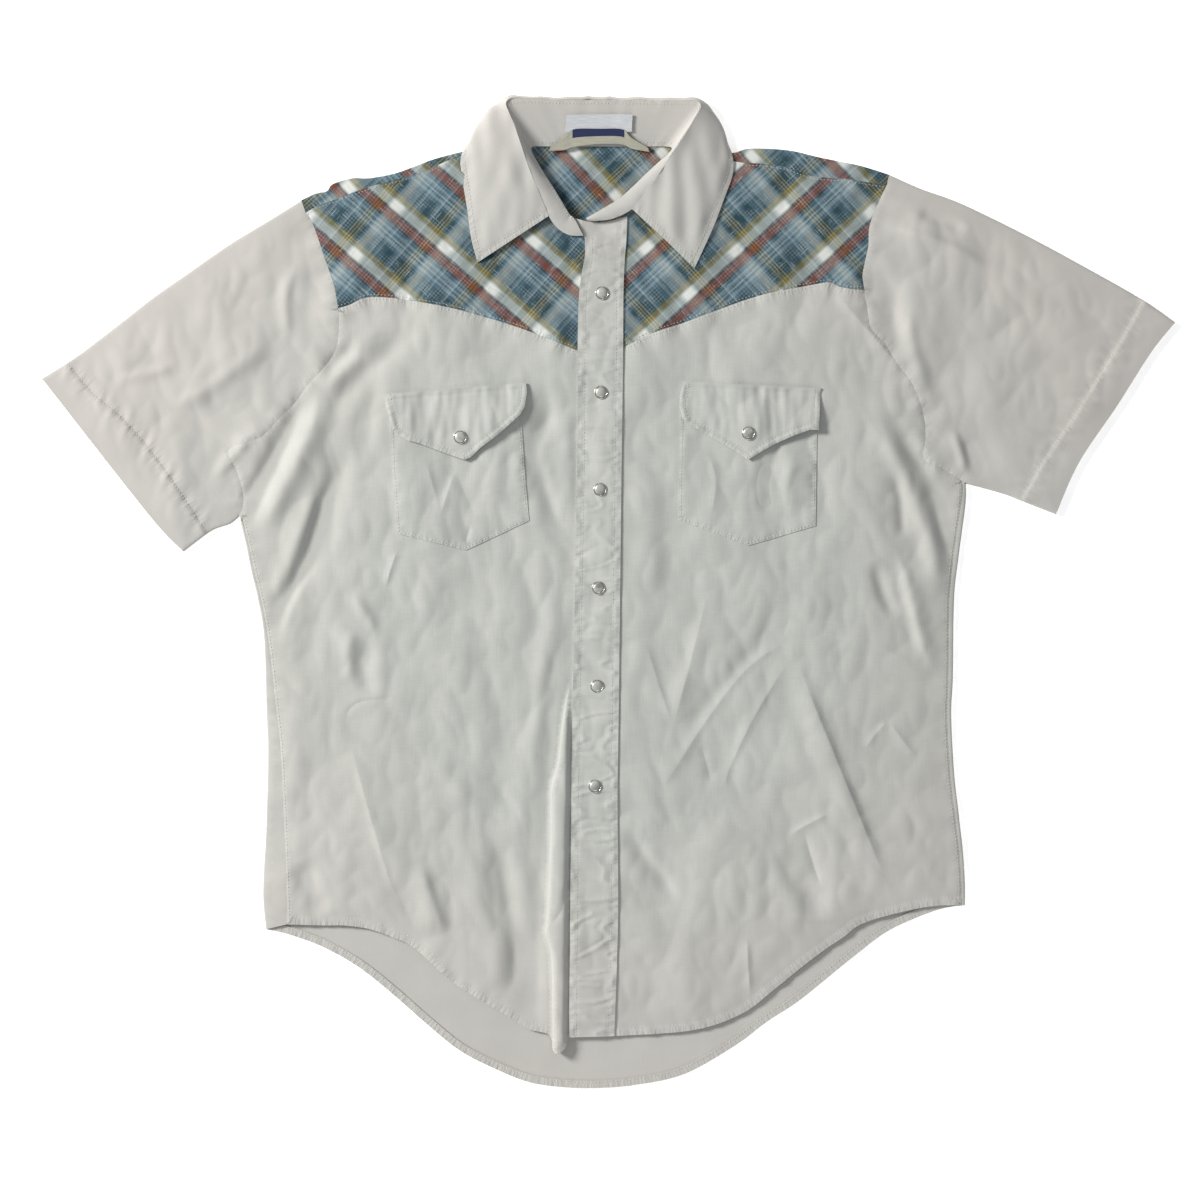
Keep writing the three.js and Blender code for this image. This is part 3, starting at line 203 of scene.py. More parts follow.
# Edges of the laid-out shirt, one point for each turn, joined by smooth curves
EDGE = {
    "right_sleeve_top": [
        [-264, 337], [-293, 319], [-326, 299], [-359, 276], [-392, 253], [-424, 228], [-457, 203],
        [-486.8, 184],
    ],
    "right_cuff": [[-486.8, 184], [-451, 138], [-415, 92], [-385, 55], [-365, 35]],
    "right_underarm": [[-365, 35], [-352, 45], [-339, 54], [-325, 59], [-317.5, 65]],
    "right_armhole_low": [
        [-317.5, 66], [-313.8, 76], [-315, 90], [-320, 106], [-326.5, 122], [-308, 130], [-297, 134],
        [-284, 148], [-270, 162], [-257.6, 179], [-247, 190], [-235, 207], [-231.5, 224], [-232, 244],
    ],
    "right_armhole_high": [
        [-232, 244], [-235, 261], [-239, 274], [-244, 288], [-250, 306], [-256, 321], [-260, 326],
    ],
    "right_shoulder_tip": [[-260, 326], [-264, 337]],
    "right_shoulder_fold": [
        [-264, 337], [-252, 342.7], [-242, 345], [-237, 351], [-220, 356], [-206, 356], [-184, 360],
        [-167, 366], [-151, 372], [-129, 378], [-100, 384], [-73, 385.5],
    ],
    "right_shoulder_seam": [
        [-260, 326], [-250, 332], [-233, 338], [-206, 348], [-173, 357], [-156, 362.5], [-130, 374],
        [-100, 380], [-73, 381.5],
    ],
    "right_yoke_seam": [
        [-232, 244], [-222, 247], [-208, 253], [-189, 253], [-167, 250], [-145, 246], [-123, 241],
        [-78, 227.5], [-27, 207.5], [4, 195],
    ],
    "right_neck": [
        [-68.4, 381], [-61, 369], [-51.4, 354.7], [-40, 335.8], [-32.5, 322.5], [-24, 318], [-14, 321],
        [-4, 329], [6.5, 336],
    ],
    "right_side": [
        [-317.5, 64], [-312, 42], [-307.4, 19], [-301.5, -6], [-296.3, -39], [-294, -105],
        [-292.8, -138], [-294.5, -204], [-296.3, -237], [-297, -263], [-294.5, -289.5],
    ],
    "right_side_seam": [
        [-314.6, 62], [-309, 40], [-304.4, 18], [-298.5, -7], [-292.5, -40], [-285, -105],
        [-281.6, -138], [-278.5, -204], [-277, -240], [-275.8, -285],
    ],
    "right_hem": [
        [-275.8, -285], [-244, -286], [-227, -286], [-206, -289], [-186, -296], [-166, -306],
        [-134, -334.5], [-105, -353], [-85, -365], [-69, -375], [-51, -380], [-47.8, -393],
        [-43.4, -395.5], [-37, -391], [-32, -381.5], [-3.8, -381],
    ],
    "centre": [
        [6.5, 336], [6, 290], [4.4, 258], [4, 195], [3.4, 154], [2.8, 114], [0.4, -92], [-0.7, -176],
        [-0.3, -280], [-3.8, -381],
    ],
    "left_neck": [[6.5, 336], [14, 342.5], [24.3, 352], [36.9, 364], [54.6, 380.3]],
    "left_shoulder_seam": [
        [56, 381], [79, 376], [111, 369.5], [134, 368], [154, 364.7], [174, 357.5], [190, 356],
        [207, 354.7], [226, 351.7], [239, 350],
    ],
    "left_shoulder_fold": [
        [56, 384], [80, 382], [106, 377.8], [121, 381.5], [154, 380], [182, 373.7], [215, 367],
        [241, 359],
    ],
    "left_shoulder_tip": [[239, 350], [241, 359]],
    "left_armhole_high": [
        [239, 350], [236, 344], [231, 333], [226, 321], [223.4, 310.6], [223, 298], [219.8, 282],
        [218, 272], [219.7, 260.4],
    ],
    "left_armhole_low": [
        [219.7, 260.4], [223, 236], [225.4, 225.8], [237.4, 212.8], [247, 197], [258.4, 182],
        [266, 166.4], [271, 149], [272, 133], [270.5, 114.5], [284.6, 107], [298, 99.3], [303.2, 95.9],
        [307, 93.5],
    ],
    "left_yoke_seam": [
        [4, 207.4], [13.5, 210.4], [35.7, 221.5], [65.8, 231.8], [92, 241.6], [130, 254.7],
        [176.7, 264.4], [190, 266], [198, 262.5], [209, 260.4], [219.7, 260.4],
    ],
    "left_side": [
        [307, 93.5], [307, 78], [304, 54], [300.6, 28], [297, -6], [296, -72], [294.6, -105],
        [297, -154], [301, -190.5], [304.7, -224], [306.3, -250], [306.3, -268.7],
    ],
    "left_side_seam": [
        [303.2, 95.9], [302.8, 77], [299.5, 53], [296, 27], [292.6, -7], [292, -72], [291, -105],
        [293.5, -154], [297.5, -190.5], [301.3, -224], [303, -250], [303, -268.7],
    ],
    "left_hem": [
        [-3.8, -381], [5, -381], [72, -376], [114, -362], [141, -342], [165.5, -322], [184, -308],
        [201.7, -296], [211.5, -288], [220, -283.7], [234, -279], [256, -273.5], [280, -269.2],
        [303, -268.7],
    ],
    "back_hem": [
        [-294.5, -289.5], [-278, -293], [-247, -304], [-215, -322], [-186.5, -344.5], [-154, -373],
        [-126, -395], [-93, -411.5], [-69, -420.7], [-44, -424.8], [-14, -426.1], [22, -423.5],
        [65, -414], [108, -390], [137, -368.5], [165, -350], [212, -312], [243, -289.5], [282.5, -273],
        [306.3, -268.7],
    ],
    "left_sleeve_top": [
        [241, 359], [268, 347], [302, 334.5], [355, 308.8], [404, 282.5], [457, 252.6], [486.8, 232],
    ],
    "left_cuff": [[486.8, 232], [466.5, 206.8], [437, 160.6], [404, 111.4], [384.3, 67]],
    "left_underarm": [[384.3, 67], [355, 78.4], [338, 85], [307, 93.5]],
}

PLACKET = {
    "left": [
        [-20, 304], [-20.5, 286], [-25, 258.5], [-26.5, 209.5], [-27, 114], [-30.8, -92.5], [-32, -176],
        [-33, -280], [-34, -382],
    ],
    "right": [
        [5, -381], [8.2, -280], [7.8, -176], [8.9, -92.5], [11.3, 114], [11.9, 154.4], [12.5, 209.4],
        [12.9, 258.4], [14, 286], [15.2, 300], [16.2, 323],
    ],
    "top": [[16.2, 323], [3, 319.3], [-8, 317.6], [-19, 318.5], [-29, 320.5], [-24, 312], [-20, 304]],
}

POCKETS = {
    "pocket_right": [
        [-187, 158.5], [-186.4, 136], [-185.3, 104], [-181, 50.3], [-122.3, 36.1], [-68, 61.5],
        [-71.8, 103.6], [-74.4, 144], [-73.5, 168],
    ],
    "pocket_left": [
        [61.4, 168], [61.8, 147.5], [60.2, 92.4], [60.2, 62.3], [119.5, 40], [177.6, 57], [178.1, 92.4],
        [178.7, 136.3], [180, 164],
    ],
}

FLAPS = {
    "flap_right": [
        [-192, 169.9], [-190.8, 160.4], [-187.5, 148.4], [-184, 139], [-179, 134.6], [-172.4, 130.3],
        [-161, 127.2], [-138, 118.5], [-123.5, 113.5], [-118, 115.7], [-110, 123.4], [-95, 134.6],
        [-81, 147], [-75.5, 152], [-71.6, 159.5], [-69.7, 171.6], [-70.7, 179.8],
    ],
    "flap_left": [
        [64, 181], [61.2, 169.4], [60.6, 159.5], [63.2, 149.6], [68.4, 144], [82.6, 136.3], [99, 127],
        [110, 120], [119.4, 113.5], [132, 121.2], [143, 127.3], [159.5, 134.6], [172.4, 139.2],
        [180.2, 138.9], [181, 158.7], [181.9, 175],
    ],
}

# Lines of hem stitches across the sleeves
SLEEVE_HEMS = {
    "right": [(-464, 196), (-443, 171), (-415, 147), (-385, 111), (-365, 82), (-349, 57)],
    "left": [(458, 249), (434, 207), (401, 154), (375, 115), (355, 80)],
}

PLACKET_SNAPS = [
    [-5.6, 256.7], [-6.5, 171.6], [-7.3, 88.2], [-8.6, 3.9], [-9.9, -80.4], [-11.6, -166],
]

FLAP_SNAPS = {"snap_flap_right": [-126.9, 132.9], "snap_flap_left": [119.6, 136.3]}

# Collar band: neck is the edge sewn to the neckline, roll the one that carries the leaf
BAND_SECTIONS = [
    {"neck": [-29.5, 320.6, 8.3], "roll": [-21.6, 306, 8.3]},
    {"neck": [-31.5, 322.5, 8.3], "roll": [-33, 306.3, 9]},
    {"neck": [-33.5, 324, 8.3], "roll": [-43.5, 312, 9.8]},
    {"neck": [-38.5, 332, 8.2], "roll": [-51.2, 322.5, 10.8]},
    {"neck": [-46.5, 345.5, 8], "roll": [-58.5, 340, 12.2]},
    {"neck": [-56.5, 361, 7.4], "roll": [-68, 363.5, 14]},
    {"neck": [-66, 377.5, 6.4], "roll": [-76, 387, 15.4]},
    {"neck": [-65.5, 382.6, 4.2], "roll": [-81.5, 402, 15]},
    {"neck": [-60, 383.4, 2], "roll": [-87, 419, 13]},
    {"neck": [-48, 383.4, 1.5], "roll": [-79, 423, 11.2]},
    {"neck": [-30, 383.4, 1.4], "roll": [-40, 422.2, 9.8]},
    {"neck": [-5, 383.4, 1.4], "roll": [-5, 422.2, 9.4]},
    {"neck": [22, 383.4, 1.4], "roll": [32, 421.8, 9.8]},
    {"neck": [42, 383.4, 1.5], "roll": [70, 421, 11.2]},
    {"neck": [50, 383.2, 2.2], "roll": [78.5, 416.5, 13]},
    {"neck": [54.6, 381.6, 4.4], "roll": [72.5, 403, 15]},
    {"neck": [53, 377.6, 6.4], "roll": [62.5, 387.6, 15.4]},
    {"neck": [43.5, 369, 7.4], "roll": [51.5, 370.5, 14]},
    {"neck": [32, 358.4, 8], "roll": [41.6, 356, 12.6]},
    {"neck": [20.5, 347.4, 8.2], "roll": [30.6, 341.5, 11]},
    {"neck": [9.5, 337.8, 8.4], "roll": [20, 328.6, 9.8]},
    {"neck": [-3, 330, 8.5], "roll": [5, 321, 9]},
    {"neck": [-14, 323.5, 8.5], "roll": [-8, 318.9, 8.6]},
    {"neck": [-19, 320.6, 8.5], "roll": [-17.6, 318.7, 8.5]},
]

# Collar leaf: roll is where it leaves the band, turn where it is furthest out or highest,
# edge its outer edge
LEAF_SECTIONS = [
    {"roll": [-53, 321.6, 11.6], "turn": [-82, 302.5, 10.6], "edge": [-112.2, 282.8, 7.3]},
    {"roll": [-60, 339.5, 13], "turn": [-88.5, 323.5, 12], "edge": [-117.6, 303, 7.2]},
    {"roll": [-69.8, 363.5, 14.8], "turn": [-96, 349.5, 12.5], "edge": [-121.5, 331, 6.8]},
    {"roll": [-77.6, 388, 16.2], "turn": [-103.5, 375.5, 12.2], "edge": [-125.8, 358, 6]},
    {"roll": [-83, 403.2, 15.8], "turn": [-109.5, 388.5, 9.4], "edge": [-126.3, 374.2, 5.6]},
    {"roll": [-85, 412, 14.4], "turn": [-112.8, 399, 6.4], "edge": [-117.5, 388.5, 1.2]},
    {"roll": [-85.6, 419, 12.6], "turn": [-103, 412.8, 5.2], "edge": [-99.5, 392.5, 0.8]},
    {"roll": [-80, 423.4, 10.8], "turn": [-86, 422.6, 4.4], "edge": [-85, 391, 0.8]},
    {"roll": [-60, 423.8, 9.8], "turn": [-62, 422.4, 4.2], "edge": [-60, 390.5, 0.8]},
    {"roll": [-5, 423.8, 9.2], "turn": [-5, 422.4, 4.2], "edge": [-5, 390, 0.8]},
    {"roll": [54, 423.2, 9.8], "turn": [56, 422.4, 4.2], "edge": [54, 390.5, 0.8]},
    {"roll": [74, 421.6, 10.8], "turn": [80, 420.6, 4.4], "edge": [78, 391, 0.8]},
    {"roll": [79.4, 416.8, 12.6], "turn": [92, 409, 5.2], "edge": [90, 391.5, 0.8]},
    {"roll": [79, 411, 14.2], "turn": [98, 396, 6.4], "edge": [101, 386.5, 1.2]},
    {"roll": [74.4, 403.4, 15.8], "turn": [94.5, 386.5, 9.6], "edge": [106.6, 372.5, 5.6]},
    {"roll": [64.4, 387.6, 16.2], "turn": [87, 371.5, 12.2], "edge": [106.2, 358, 6]},
    {"roll": [49.6, 364, 14.6], "turn": [77.5, 350, 12.4], "edge": [99, 337.5, 6.8]},
    {"roll": [36, 346, 12.6], "turn": [63.5, 328.5, 11.6], "edge": [89.5, 312.5, 7.1]},
    {"roll": [21.4, 327.8, 10.8], "turn": [47, 303.6, 10.2], "edge": [73.8, 278, 7.3]},
]

# Labels at the back of the neck
CARE_LABEL = [
    {"low": [-37.6, 394.6, 6.9], "high": [-36, 409, 9.7]},
    {"low": [-9, 394.8, 6.4], "high": [-8, 409.6, 9]},
    {"low": [20, 395.2, 6.5], "high": [20.6, 409.6, 9.4]},
]

LOOP_LABEL = [
    {"low": [-51, 379.4, 3], "high": [-50, 382.5, 4.2]},
    {"low": [-38, 380, 3.8], "high": [-37, 390.5, 6.6]},
    {"low": [-30, 382.5, 4.6], "high": [-30, 397, 7.6]},
    {"low": [-8, 385, 5], "high": [-8, 397.5, 7.8]},
    {"low": [12, 384.5, 4.8], "high": [12, 397, 7.6]},
    {"low": [20, 381, 4.2], "high": [19, 390.5, 6.4]},
    {"low": [35, 378.4, 3], "high": [34, 381.6, 4.2]},
]


# Curves and outlines

def catmull_rom(a, b, c, d, t):
    return b + 0.5 * ((c - a) * t + (2 * a - 5 * b + 4 * c - d) * t**2
                      + (3 * b - a - 3 * c + d) * t**3)


def smooth(points, step=EDGE_STEP):
    """A Catmull-Rom curve through the points, with a point about every step."""
    points = np.array(points, float)
    line = [points[0]]
    for i in range(len(points) - 1):
        a, b, c, d = points[np.clip([i - 1, i, i + 1, i + 2], 0, len(points) - 1)]
        parts = max(1, round(math.dist(b, c) / step))
        line += [catmull_rom(a, b, c, d, j / parts) for j in range(1, parts + 1)]
    return np.array(line)


def backwards(points):
    return list(points)[::-1]


def area_of(outline):
    x, y = outline.T
    return (x @ np.roll(y, -1) - y @ np.roll(x, -1)) / 2


def side_normals(outline):
    """The inward normal of each side of a counter-clockwise outline."""
    along = np.roll(outline, -1, axis=0) - outline
    along /= np.linalg.norm(along, axis=1)[:, None]
    return np.stack([-along[:, 1], along[:, 0]], axis=1)


def inset(outline, gaps):
    """Moves every side of a counter-clockwise outline inward by its own gap."""
    after = side_normals(outline)
    before = np.roll(after, 1, axis=0)
    gap_before = np.roll(gaps, 1)
    cross = before[:, 0] * after[:, 1] - before[:, 1] * after[:, 0]
    x = (gap_before * after[:, 1] - gaps * before[:, 1]) / np.where(abs(cross) < 0.3, 1, cross)
    y = (before[:, 0] * gaps - after[:, 0] * gap_before) / np.where(abs(cross) < 0.3, 1, cross)
    straight = (before * gap_before[:, None] + after * gaps[:, None]) / 2
    corner = np.stack([x, y], axis=1)
    return outline + np.where(abs(cross)[:, None] < 0.3, straight, corner)


def outline_of(*edges):
    """A closed counter-clockwise outline from edges joined end to end, each points or
    (points, gap). Gives its points, and for each edge the numbers of the points along it."""
    pairs = [edge if isinstance(edge, tuple) else (edge, SEAM / 2) for edge in edges]
    lines = [smooth(points) for points, _ in pairs]
    points = np.vstack([line[:-1] for line in lines])
    gaps = np.concatenate([np.full(len(line) - 1, gap) for line, (_, gap) in zip(lines, pairs)])
    starts = np.cumsum([0] + [len(line) - 1 for line in lines])
    runs = [np.arange(a, b + 1) % len(points) for a, b in zip(starts, starts[1:])]
    if area_of(points) < 0:
        points = points[::-1]
        gaps = np.roll(gaps[::-1], -1)
        runs = [(len(points) - 1 - run)[::-1] for run in runs]
    return inset(points, gaps), runs


def shifted(line, distance):
    """An open line moved sideways, to its left where distance is positive."""
    along = np.gradient(line, axis=0)
    along /= np.linalg.norm(along, axis=1)[:, None]
    return line + distance * np.stack([-along[:, 1], along[:, 0]], axis=1)


def near_line(xy, line):
    """For each place: its distance to the line, how far along the line the nearest spot
    is, and 1 on the line's left or -1 on its right. The line's length comes last."""
    line = np.asarray(line, float)
    best = np.full(len(xy), np.inf)
    run = np.zeros(len(xy))
    side = np.ones(len(xy))
    start = 0.0
    for a, b in zip(line, line[1:]):
        step = b - a
        length = math.hypot(*step)
        if length == 0:
            continue
        share = np.clip((xy - a) @ step / length**2, 0, 1)
        off = xy - a - share[:, None] * step
        distance = np.hypot(off[:, 0], off[:, 1])
        closer = distance < best
        best[closer] = distance[closer]
        run[closer] = start + share[closer] * length
        side[closer] = np.sign(step[0] * off[closer, 1] - step[1] * off[closer, 0])
        start += length
    return best, run, side, start


def is_inside(xy, outline):
    inside = np.zeros(len(xy), bool)
    for (x1, y1), (x2, y2) in zip(outline, np.roll(outline, -1, axis=0)):
        if y1 == y2:
            continue
        crosses = (y1 > xy[:, 1]) != (y2 > xy[:, 1])
        inside ^= crosses & (xy[:, 0] < x1 + (x2 - x1) * (xy[:, 1] - y1) / (y2 - y1))
    return inside


# Heights of the upper layer

def smoothstep(value, low, high):
    t = np.clip((value - low) / (high - low), 0, 1)
    return t * t * (3 - 2 * t)


def upper_outline():
    edges = [
        EDGE["right_sleeve_top"], EDGE["right_cuff"], EDGE["right_underarm"], EDGE["right_side"],
        EDGE["right_hem"], EDGE["left_hem"], backwards(EDGE["left_side"]),
        backwards(EDGE["left_underarm"]), backwards(EDGE["left_cuff"]),
        backwards(EDGE["left_sleeve_top"]), backwards(EDGE["left_shoulder_fold"]),
        backwards(EDGE["right_shoulder_fold"]),
    ]
    points = np.vstack([smooth(edge, TURN_STEP) for edge in edges])
    return np.vstack([points, points[:1]])


UPPER_OUTLINE = upper_outline()


def fold_height(xy, fold):
    _, x1, y1, x2, y2, bow, left, right, rise, ends = fold
    start = np.array([x1, y1], float)
    run = np.array([x2 - x1, y2 - y1], float)
    length = np.hypot(*run)
    along = (xy - start) @ run / length**2
    middle = 4 * bow * along * (1 - along)
    across = ((xy - start) @ np.array([-run[1], run[0]])) / length - middle
    width = np.where(across > 0, left, right)
    fade = smoothstep(np.minimum(along, 1 - along), 0, ends)
    return rise * fade * np.exp(-((across / width) ** 2))


def loft(xy):
    to_body = 1 - smoothstep(abs(xy[:, 0]), LOFT_ZONES["sleeve_to"], LOFT_ZONES["sleeve_from"])
    to_chest = 1 - smoothstep(xy[:, 1], LOFT_ZONES["yoke_to"], LOFT_ZONES["yoke_from"])
    torso = LOFT["yoke"] + (LOFT["body"] - LOFT["yoke"]) * to_chest
    full = LOFT["sleeve"] + (torso - LOFT["sleeve"]) * to_body
    depth, _, _, _ = near_line(xy, UPPER_OUTLINE)
    return full * (1 - np.exp(-depth / LOFT["reach"]))


def crease_height(xy, crease):
    _, places, left, right, rise, crisp = crease
    line = smooth(places, 6)
    reach = 3.5 * max(left, right)
    close = np.all((xy > line.min(0) - reach) & (xy < line.max(0) + reach), axis=1)
    height = np.zeros(len(xy))
    if not close.any():
        return height
    distance, run, side, length = near_line(xy[close], line)
    width = np.where(side > 0, left, right)
    share = distance / width
    form = np.exp(-np.sqrt(share**2 + 0.04) * 1.4) if crisp else np.exp(-share**2)
    fade = smoothstep(np.minimum(run, length - run), -0.02 * length, CREASE_ENDS * length)
    height[close] = rise * form * fade
    return height


def waves(xy, size_x, size_y, seed):
    """Smooth random waves from about -0.7 to 0.7, of the given sizes."""
    return np.array([noise.noise(Vector((x / size_x, y / size_y, seed))) for x, y in xy])


def pleat(xy):
    """Cloth that is folded over itself beside the placket, with a sharp left edge."""
    distance, run, side, length = near_line(xy, smooth(PLEAT))
    across = side * distance
    fade = smoothstep(run, 0.02 * length, 0.3 * length)
    step = smoothstep(across, -0.6, 0.8) * (1 - 0.3 * smoothstep(across, 1, 16))
    foot = np.exp(-(((across + PLEAT_FORM["foot_reach"]) / PLEAT_FORM["foot_reach"]) ** 2))
    from_placket, _, inside, _ = near_line(xy, smooth(PLACKET["left"]))
    under = np.where(inside > 0, 1, 1 - smoothstep(from_placket, 0.5, 5)) * (xy[:, 1] < -10)
    shown = PLEAT_FORM["step"] * step - PLEAT_FORM["foot"] * foot
    return fade * (shown * (1 - under) - PLEAT_FORM["under_placket"] * under)


# Soft waves of the upper layer: sizes across and along, seed, height and what the body adds
WAVE_TABLE = [(50, 95, 3.1, 1.2, 1.4), (24, 60, 8.4, 0.3, 0.5), (11, 26, 5.7, 0.16, 0)]

# Small creases of the upper layer, which meet in lines: sizes across and along, seed, height
CRUMPLE_TABLE = [(36, 52, 21.7, 2.4), (17, 27, 33.1, 1.1)]
CRUMPLE_MEAN = 0.18


def relief(xy):
    """Creases and soft waves of the upper layer, which all of its pieces follow."""
    creases = sum(crease_height(xy, crease) for crease in CREASE_TABLE)
    depth, _, _, _ = near_line(xy, UPPER_OUTLINE)
    on_body = 1 - smoothstep(abs(xy[:, 0]), 240, 310)
    soft = sum((rise + more * on_body) * waves(xy, across, along, seed)
               for across, along, seed, rise, more in WAVE_TABLE)
    crumples = sum(rise * (abs(waves(xy, across, along, seed)) - CRUMPLE_MEAN)
                   for across, along, seed, rise in CRUMPLE_TABLE)
    return creases + (soft + crumples) * smoothstep(depth, -6, 30)


def puckers(xy, line, spacing, depth, reach, seed, slant=0.0):
    """Short uneven ripples across a line of stitches."""
    distance, run, side, _ = near_line(xy, line)
    place = (run + slant * side * distance) / spacing
    ripple = np.array([noise.noise(Vector((value, seed, 0.3))) for value in place])
    return depth * 2 * ripple * np.exp(-((distance / reach) ** 2))


# Ripples of the seams between two pieces: spacing, depth, reach and seed
SEAM_RIPPLES = {
    "yoke_seam": (11, 0.8, 13, 2.0),
    "side_seam": (14, 0.7, 10, 3.0),
    "armhole_low": (13, 0.8, 13, 4.0),
    "armhole_high": (13, 0.8, 13, 5.0),
}
SEAM_GROOVE = {"depth": 0.4, "reach": 1.5}


def seam_form(xy, side, *seams):
    """The groove and the ripples of seams, alike on the two pieces that meet in one."""
    height = 0
    for seam in seams:
        edge = smooth(EDGE[f"{side}_{seam}"])
        distance, _, _, _ = near_line(xy, edge)
        groove = -SEAM_GROOVE["depth"] * np.exp(-((distance / SEAM_GROOVE["reach"]) ** 2))
        height = height + groove + puckers(xy, edge, *SEAM_RIPPLES[seam])
    return height


class Layer:
    """The outer surface of a piece of the upper layer. lift is the solid's own height over
    the underside of the layer, thickness included, and own gives the piece's own form."""

    def __init__(self, lift, own=None, first_fold=0):
        self.lift = lift
        self.own = own
        self.first_fold = first_fold  # the placket lies flat over the ridge beside it

    def __call__(self, xy):
        folds = sum(fold_height(xy, fold) for fold in FOLD_TABLE[self.first_fold:])
        base = loft(xy) + folds + relief(xy)
        soft_floor = 0.5 * (base + np.sqrt(base**2 + 0.3))
        height = FLOOR_WALL + INSIDE_GAP + soft_floor + self.lift
        return height + (self.own(xy) if self.own else 0)


# Making meshes

CELL = 1.2  # no lattice point lies within about this distance of a crisp crease

def crisp_rows(outline):
    """Points on the crisp creases inside an outline and close to both of their sides."""
    lines = [smooth(row[1], 2.4) for row in CREASE_TABLE + POCKET_CREASES if row[5]]
    lines += [smooth(line, 2.0) for line in (PLEAT, *SLEEVE_HEMS.values())]
    rows = np.vstack([shifted(line, gap) for line in lines for gap in (-0.9, 0, 0.9)])
    rows = rows[is_inside(rows, outline)]
    distance, _, _, _ = near_line(rows, np.vstack([outline, outline[:1]]))
    return rows[distance > 1.2]


def fill(outline, spacing):
    """Points and triangles over the inside of an outline. The outline's points come first."""
    low, high = outline.min(0), outline.max(0)
    row_step = spacing * math.sqrt(3) / 2
    rows = np.arange(low[1] + row_step, high[1], row_step)
    columns = np.arange(low[0], high[0] + spacing, spacing)
    lattice = np.array([
        (x + (spacing / 2 if i % 2 else 0), y) for i, y in enumerate(rows) for x in columns
    ])
    lattice = lattice[is_inside(lattice, outline)]
    distance, _, _, _ = near_line(lattice, np.vstack([outline, outline[:1]]))
    lattice = lattice[distance > 0.55 * spacing]
    if spacing < 3:
        rows = crisp_rows(outline)
        cells = {tuple(cell) for cell in np.round(rows / CELL).astype(int)}
        around = [(i, j) for i in (-1, 0, 1) for j in (-1, 0, 1)]
        near = np.array([
            any((round(x / CELL) + i, round(y / CELL) + j) in cells for i, j in around)
            for x, y in lattice])
        lattice = np.vstack([lattice[~near], rows]) if len(rows) else lattice
    points = np.vstack([outline, lattice])
    count = len(outline)
    sides = [(i, (i + 1) % count) for i in range(count)]
    _, _, faces, origins, _, _ = geometry.delaunay_2d_cdt(
        [Vector(p) for p in points], sides, [], 1, 1e-5)
    number = {i: source[0] for i, source in enumerate(origins) if source}
    faces = [[number[i] for i in face] for face in faces if all(i in number for i in face)]
    return points, np.array(faces)


def set_places(mesh, layer_name, uv):
    corners = np.empty(len(mesh.loops), int)
    mesh.loops.foreach_get("vertex_index", corners)
    layer = mesh.uv_layers.new(name=layer_name)
    layer.data.foreach_set("uv", np.asarray(uv)[corners].astype(np.float32).ravel())


def sharpen_rim(mesh):
    """Keeps the shading of a cut edge off the face of the cloth."""
    edges = np.empty(len(mesh.loops), int)
    mesh.loops.foreach_get("edge_index", edges)
    is_rim = np.bincount(edges, minlength=len(mesh.edges)) == 1
    mesh.attributes.new("sharp_edge", "BOOLEAN", "EDGE").data.foreach_set("value", is_rim)


def seam_places(xy, seams):
    """How far along the nearest seam each spot is and how far off it, both in ripples. Each
    seam is its line, the spacing of its ripples and their reach."""
    best = np.full(len(xy), 9.0)
    along = np.zeros(len(xy))
    for number, (line, spacing, reach) in enumerate(seams):
        distance, run, _, _ = near_line(xy, line)
        closer = distance / reach < best
        best[closer] = distance[closer] / reach
        along[closer] = run[closer] / spacing + 37 * number
    return np.stack([along, best], axis=1)


def new_object(name, points, faces, uv=None, seam_uv=None):
    """An object from points in millimetres. uv holds a place in the cloth for each point."""
    mesh = bpy.data.meshes.new(name)
    mesh.from_pydata((np.asarray(points) * MM).tolist(), [], [list(map(int, f)) for f in faces])
    if uv is not None:
        set_places(mesh, "Cloth", uv)
    if seam_uv is not None:
        set_places(mesh, "Seams", seam_uv)
    sharpen_rim(mesh)
    mesh.polygons.foreach_set("use_smooth", [True] * len(mesh.polygons))
    piece = bpy.data.objects.new(name, mesh)
    bpy.context.scene.collection.objects.link(piece)
    return piece


def finish_piece(piece, node, materials, thickness=None):
    """Gives a piece its thickness and materials and ties it to the frame."""
    if thickness:
        shell = piece.modifiers.new("Thickness", "SOLIDIFY")
        shell.thickness = thickness * MM
        shell.offset = -1
        shell.use_even_offset = False
    for material in materials:
        piece.data.materials.append(material)
    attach(piece, "root")
    if node:
        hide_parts(node)
    return piece


def grain(angle=0.0, origin=(0.0, 0.0)):
    """Places in the cloth, in metres along its two threads, turned by an angle in degrees."""
    c, s = math.cos(math.radians(angle)), math.sin(math.radians(angle))

    def place(xy):
        x, y = (xy - np.array(origin)).T
        return np.stack([x * c + y * s, y * c - x * s], axis=1) * MM
    return place


def panel(name, node, material, outline, layer, place, spacing, thickness=CLOTH, seams=()):
    """One layer of cloth cut along an outline and laid at the layer's height."""
    xy, faces = fill(outline, spacing)
    points = np.column_stack([xy, layer(xy)])
    piece = new_object(name, points, faces, place(xy), seam_places(xy, seams))
    return finish_piece(piece, node, [material], thickness)


def fold_rows(high, low, outline, run):
    """Rows of points that round a folded edge, between its upper and its lower line."""
    normals = -side_normals(outline)
    outward = normals[run] + normals[np.roll(run, 1)]
    outward[0], outward[-1] = outward[1], outward[-2]
    outward /= np.linalg.norm(outward, axis=1)[:, None]
    rows = []
    for part in range(1, FOLD_PARTS):
        turn = math.pi * part / FOLD_PARTS
        row = (high + low) / 2 + (high - low) / 2 * math.cos(turn)
        row[:, :2] += outward * FOLD_ROUND * math.sin(turn)
        rows.append(row)
    return rows


